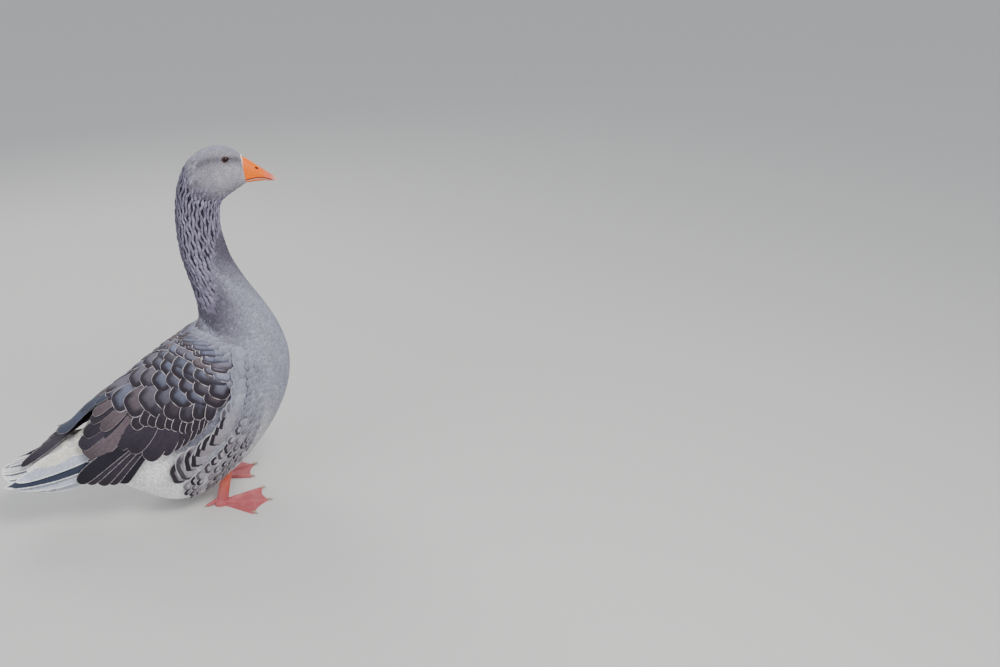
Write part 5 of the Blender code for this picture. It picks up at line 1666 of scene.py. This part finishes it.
def leg_material():
    """Scaled skin: orange red on the shank and salmon pink on the toes and webs."""
    made, tree, shader = new_material("leg_skin", 0.45, Subsurface_Weight=0.08, Subsurface_Scale=0.0015)
    where = own_place(tree)
    colour = mixed(ramp(parted(where)[2], 0.012, 0.060), srgb(192, 94, 100), srgb(214, 88, 58))
    scales = node(
        tree, "ShaderNodeTexVoronoi", {"Vector": where, "Scale": 330.0}, feature="DISTANCE_TO_EDGE"
    ).outputs["Distance"]
    colour = mixed(times(ramp(scales, 0.02, 0.12, 1.0, 0.0), 0.35), colour, srgb(150, 70, 60))
    patch = ramp(noise(tree, 60.0), 0.35, 0.75, 0.0, 0.45)
    dress(shader, mixed(patch, colour, srgb(210, 130, 132)), bumped(ramp(scales, 0.0, 0.18), 0.0004))
    return made


def make_shank(name, look):
    """The scaled shank from the foot to the hock, with plates down its front."""
    side = -SIDES[name]
    hock, ankle = leg_place(side)
    table = np.array(SHANK)
    rows = sections(np.linspace(0, len(table) - 1, 150), table)
    share = rows[:, 0] / HOCK[2]
    centre = ankle + (hock - ankle) * share[:, None]
    turn = np.linspace(0, 2 * np.pi, 56, endpoint=False)
    plates = np.abs(np.sin(np.pi * rows[:, :1] / 0.0046)) ** 0.6
    front = np.exp(-((turn / 0.9) ** 2)) + np.exp(-(((turn - 2 * np.pi) / 0.9) ** 2))
    hexes = np.cos(turn * 14) * np.cos(np.pi * rows[:, :1] / 0.0024)
    relief = 0.0004 * (plates - 0.5) * front + 0.00018 * hexes * (1 - front)
    x = np.cos(turn) * (rows[:, 1:2] + relief)
    y = np.sin(turn) * (rows[:, 2:3] + relief)
    rings = centre[:, None] + np.stack([x, y, 0 * x], -1)
    finish_piece(outward(ring_mesh("shank_" + name, rings)), look, "leg_skin", "leg_" + name)


def web_reach(heading, toes):
    """How far the foot reaches at each heading: toes, webs with a hollow edge, and the pad."""
    turns, lengths = np.array(toes).T
    reach = np.full(heading.shape, HEEL_PAD)
    for a in (0, -1):
        off = np.abs(heading - turns[a])
        beyond = heading < turns[0] if a == 0 else heading > turns[-1]
        edge = TOE_WIDTH / np.maximum(np.sin(np.minimum(off, np.pi / 2)), TOE_WIDTH / lengths[a])
        reach = np.where(beyond, np.maximum(HEEL_PAD, edge), reach)
    for (turn_a, length_a), (turn_b, length_b) in zip(toes, toes[1:]):
        u = np.clip((heading - turn_a) / (turn_b - turn_a), 0, 1)
        web = (length_a + (length_b - length_a) * u) * (1 - WEB_HOLLOW * np.sin(np.pi * u) ** 0.8)
        reach = np.where((heading >= turn_a) & (heading <= turn_b), web, reach)
    return reach


def foot_height(radius, heading, toes):
    """The height of the foot's upper side, with the toes' plates and the webs' folds."""
    folds = 0.00025 * np.sin(heading * 70) * np.sin(radius / 0.004) * smooth(0.02, 0.05, radius)
    height = WEB + folds
    for turn, length in toes:
        off = heading - turn
        aside = radius * np.abs(np.sin(off))
        joints = 1 + 0.10 * np.cos(2 * np.pi * radius / 0.032)
        plates = 0.00045 * np.abs(np.sin(np.pi * radius / 0.0038)) ** 0.7
        along = TOE_HEIGHT * (1 - 0.45 * radius / length) * joints + plates
        ridge = WEB + (along - WEB) * np.exp(-((aside / TOE_WIDTH) ** 2))
        height = np.where(np.abs(off) < np.pi / 2, np.maximum(height, ridge), height)
    return np.maximum(height, FOOT_TOP * np.exp(-((radius / 0.020) ** 2)))


def tube_rings(centres, halves, sides, across):
    """Rings round a middle line, with half sizes across and up at each."""
    turn = np.linspace(0, 2 * np.pi, sides, endpoint=False)[None, :, None]
    halves = np.asarray(halves)[:, None, :]
    wide, high = across * halves[..., :1], UPWARD * halves[..., 1:]
    return centres[:, None] + wide * np.cos(turn) + high * np.sin(turn)


def toe_frame(turn):
    """The way a toe points, and the level way across it."""
    direction = np.array([math.cos(turn), math.sin(turn), 0])
    return direction, np.array([-direction[1], direction[0], 0])


def make_foot(name, look, horn):
    """A webbed foot with plated toes, its hind toe and its claws."""
    side = -SIDES[name]
    _, ankle = leg_place(side)
    headings = sorted((math.radians(turn) * -side, length) for turn, length in TOES.values())
    heading = np.linspace(-np.pi, np.pi, 420, endpoint=False)
    share = np.concatenate([np.linspace(0.02, 0.9, 60), [0.94, 0.97, 0.99, 1.0]])[:, None]
    radius = web_reach(heading, headings) * share
    height = foot_height(radius, heading, headings)
    height = height * (1 - 0.55 * smooth(0.93, 1.0, share))
    direction = np.stack([np.cos(heading), np.sin(heading), 0 * heading], -1)
    top = ankle + direction * radius[..., None] + np.stack([0 * radius, 0 * radius, height], -1)
    sole = top[-1:].copy()
    sole[..., 2] = 0.0
    rings = np.concatenate([top, sole])
    foot = outward(ring_mesh(f"foot_{name}_skin", rings))
    finish_piece(foot, look, "leg_skin", "foot_" + name, angle=80)
    turn, length = HIND_TOE
    direction, aside = toe_frame(math.radians(turn) * -side)
    table = np.array([
        (0.004, 0.012, 0.0048, 0.0048), (0.016, 0.0085, 0.0046, 0.0046),
        (length - 0.008, 0.0046, 0.0040, 0.0044), (length, 0.0036, 0.0030, 0.0030),
    ])
    rows = sections(np.linspace(0, 3, 40), table)
    centres = ankle + direction * rows[:, :1] + UPWARD * rows[:, 1:2]
    halves = np.stack([rows[:, 2], np.minimum(rows[:, 3], rows[:, 1] - 0.0002)], -1)
    rings = tube_rings(centres, halves, 28, aside)
    finish_piece(outward(ring_mesh("hind_toe_" + name, rings)), look, "leg_skin")
    for toe, (turn, length) in {**TOES, "hind": HIND_TOE}.items():
        turn, reach, scale = math.radians(turn) * -side, length - CLAW_SINK, CLAW_SCALES.get(toe, 1.0)
        direction, aside = toe_frame(turn)
        rows = sections(np.linspace(0, len(CLAW) - 1, 24), CLAW)
        centres = ankle + direction * (reach + CLAW_LENGTH * rows[:, :1] * scale)
        centres = centres + UPWARD * (CLAW_HEIGHT + rows[:, 1:2])
        size = CLAW_RADIUS * rows[:, 2] * scale
        halves = np.stack([size, np.minimum(size, centres[:, 2] - 0.0003)], -1)
        rings = tube_rings(centres, halves, 24, aside)
        claw = outward(ring_mesh(f"claw_{toe}_{name}_horn", rings))
        finish_piece(claw, horn, "claw", f"claw_{toe}_{name}")


# Studio


FLOOR_SIZE, FLOOR_COLOUR = 60.0, (0.62, 0.615, 0.60, 1)
SKY_COLOUR, SKY_STRENGTH = (0.92, 0.95, 1.0, 1), 0.72
# Lamps: place, power, width and colour, all turned to one point
LAMPS = {
    "key": ((1.0, -1.6, 2.6), 62, 1.0, (1.0, 0.98, 0.95)),
    "fill": ((-2.2, -1.4, 1.6), 14, 1.8, (0.93, 0.96, 1.0)),
    "rim": ((-0.6, 2.2, 2.2), 30, 1.4, (1.0, 0.98, 0.95)),
}
LIT_POINT = (0, 0, 0.35)
# The camera: its place from the middle of the heels, the way it looks over the floor, how far down it
# looks, and its lens and sensor in mm
CAMERA_PLACE = (0.07144, -1.88214, 1.272)
CAMERA_HEADING, CAMERA_PITCH = (0.317, 0.948), math.radians(26)
CAMERA_LENS, CAMERA_SENSOR = 32.4, 36.0


def placed_object(name, data, place, ahead):
    """A lamp or the camera at a place, turned to look ahead."""
    thing = bpy.data.objects.new(name, data)
    thing.location = place
    thing.rotation_euler = ahead.to_track_quat("-Z", "Y").to_euler()
    bpy.context.scene.collection.objects.link(thing)
    return thing


def make_studio():
    """A pale floor, soft light from above and the camera at the photograph's angle."""
    corners = [(x * FLOOR_SIZE, y * FLOOR_SIZE, 0) for x, y in ((-1, -1), (1, -1), (1, 1), (-1, 1))]
    floor = add_mesh("floor", corners, [[(0, 1, 2, 3)]])
    made, _, shader = new_material("studio_floor", 0.9)
    shader.inputs["Base Color"].default_value = FLOOR_COLOUR
    floor.data.materials.append(made)
    world = bpy.data.worlds.new("studio")
    bpy.context.scene.world = world
    world.use_nodes = True
    sky = world.node_tree.nodes["Background"].inputs
    sky["Color"].default_value, sky["Strength"].default_value = SKY_COLOUR, SKY_STRENGTH
    for name, (place, power, width, tone) in LAMPS.items():
        light = bpy.data.lights.new(name, "AREA")
        light.energy, light.size, light.color = power, width, tone
        placed_object(name, light, place, Vector(LIT_POINT) - Vector(place))
    lens = bpy.data.cameras.new("camera")
    lens.lens, lens.sensor_width = CAMERA_LENS, CAMERA_SENSOR
    level = math.cos(CAMERA_PITCH)
    ahead = Vector((CAMERA_HEADING[0] * level, CAMERA_HEADING[1] * level, -math.sin(CAMERA_PITCH)))
    place = Vector(CAMERA_PLACE) + Vector((SHIFT, 0, 0))
    bpy.context.scene.camera = placed_object("camera", lens, place, ahead)


make_studio()
make_skin()
make_coat()
make_ridge_feathers()
QUILL_LOOK = feather_material(
    "quill_feathers", 0.55, Rim_Width=0.0013, Side_Rim=0.9, Shaft_Share=0.7, Tip_Shade=0.75, Shade_Length=0.06
)
COVERT_LOOKS = {
    "coverts": feather_material(
        "covert_feathers", 0.6, Rim_Width=0.0017, Side_Rim=0.65, Shaft_Share=0.4, Band_Start=0.0014,
        Band_End=0.0075, Band_Fade=0.0110, Reach=0.020, Tip_Shade=0.64, Root_Shade=1.2, Shade_Length=0.045,
    ),
    "shoulder": feather_material(
        "shoulder_feathers", 0.7, Rim_Width=0.0018, Side_Rim=0.3, Shaft_Share=0.2, Band_Start=0.0016,
        Band_End=0.0036, Band_Fade=0.0050, Reach=0.010, Tip_Shade=0.88, Root_Shade=1.3, Shade_Length=0.018,
    ),
}
FLANK_LOOK = feather_material(
    "flank_feathers", 0.8, Rim_Width=0.0044, Side_Rim=0.35, Rim_Share=0.75, Shaft_Share=0.0,
    Band_Start=0.0042, Band_End=0.0124, Band_Fade=0.0024, Reach=0.017, Tip_Shade=1.0, Shade_Length=0.03,
)
for side_name in SIDES:
    make_quills(side_name, QUILL_LOOK)
    make_coverts(side_name, COVERT_LOOKS)
    make_flank(side_name, FLANK_LOOK)
make_tail(feather_material(
    "tail_feathers", 0.75, Rim_Width=0.0060, Side_Rim=0.5, Shaft_Share=0.25, Tip_Shade=1.1, Root_Shade=0.85,
    Shade_Length=0.045,
))
EYE_LOOK = eye_material()
LID_LOOK = soft_skin("lid_skin", (62, 38, 42), (84, 50, 52))
LEG_LOOK = leg_material()
HORN_LOOK = soft_skin("claw_horn", (196, 170, 150), (150, 122, 104), 0.4)
for side_name in SIDES:
    make_eye(side_name, EYE_LOOK)
    make_lids(side_name, LID_LOOK)
    make_shank(side_name, LEG_LOOK)
    make_foot(side_name, LEG_LOOK, HORN_LOOK)
make_bill()
make_bill_rim(bill_rim_material())
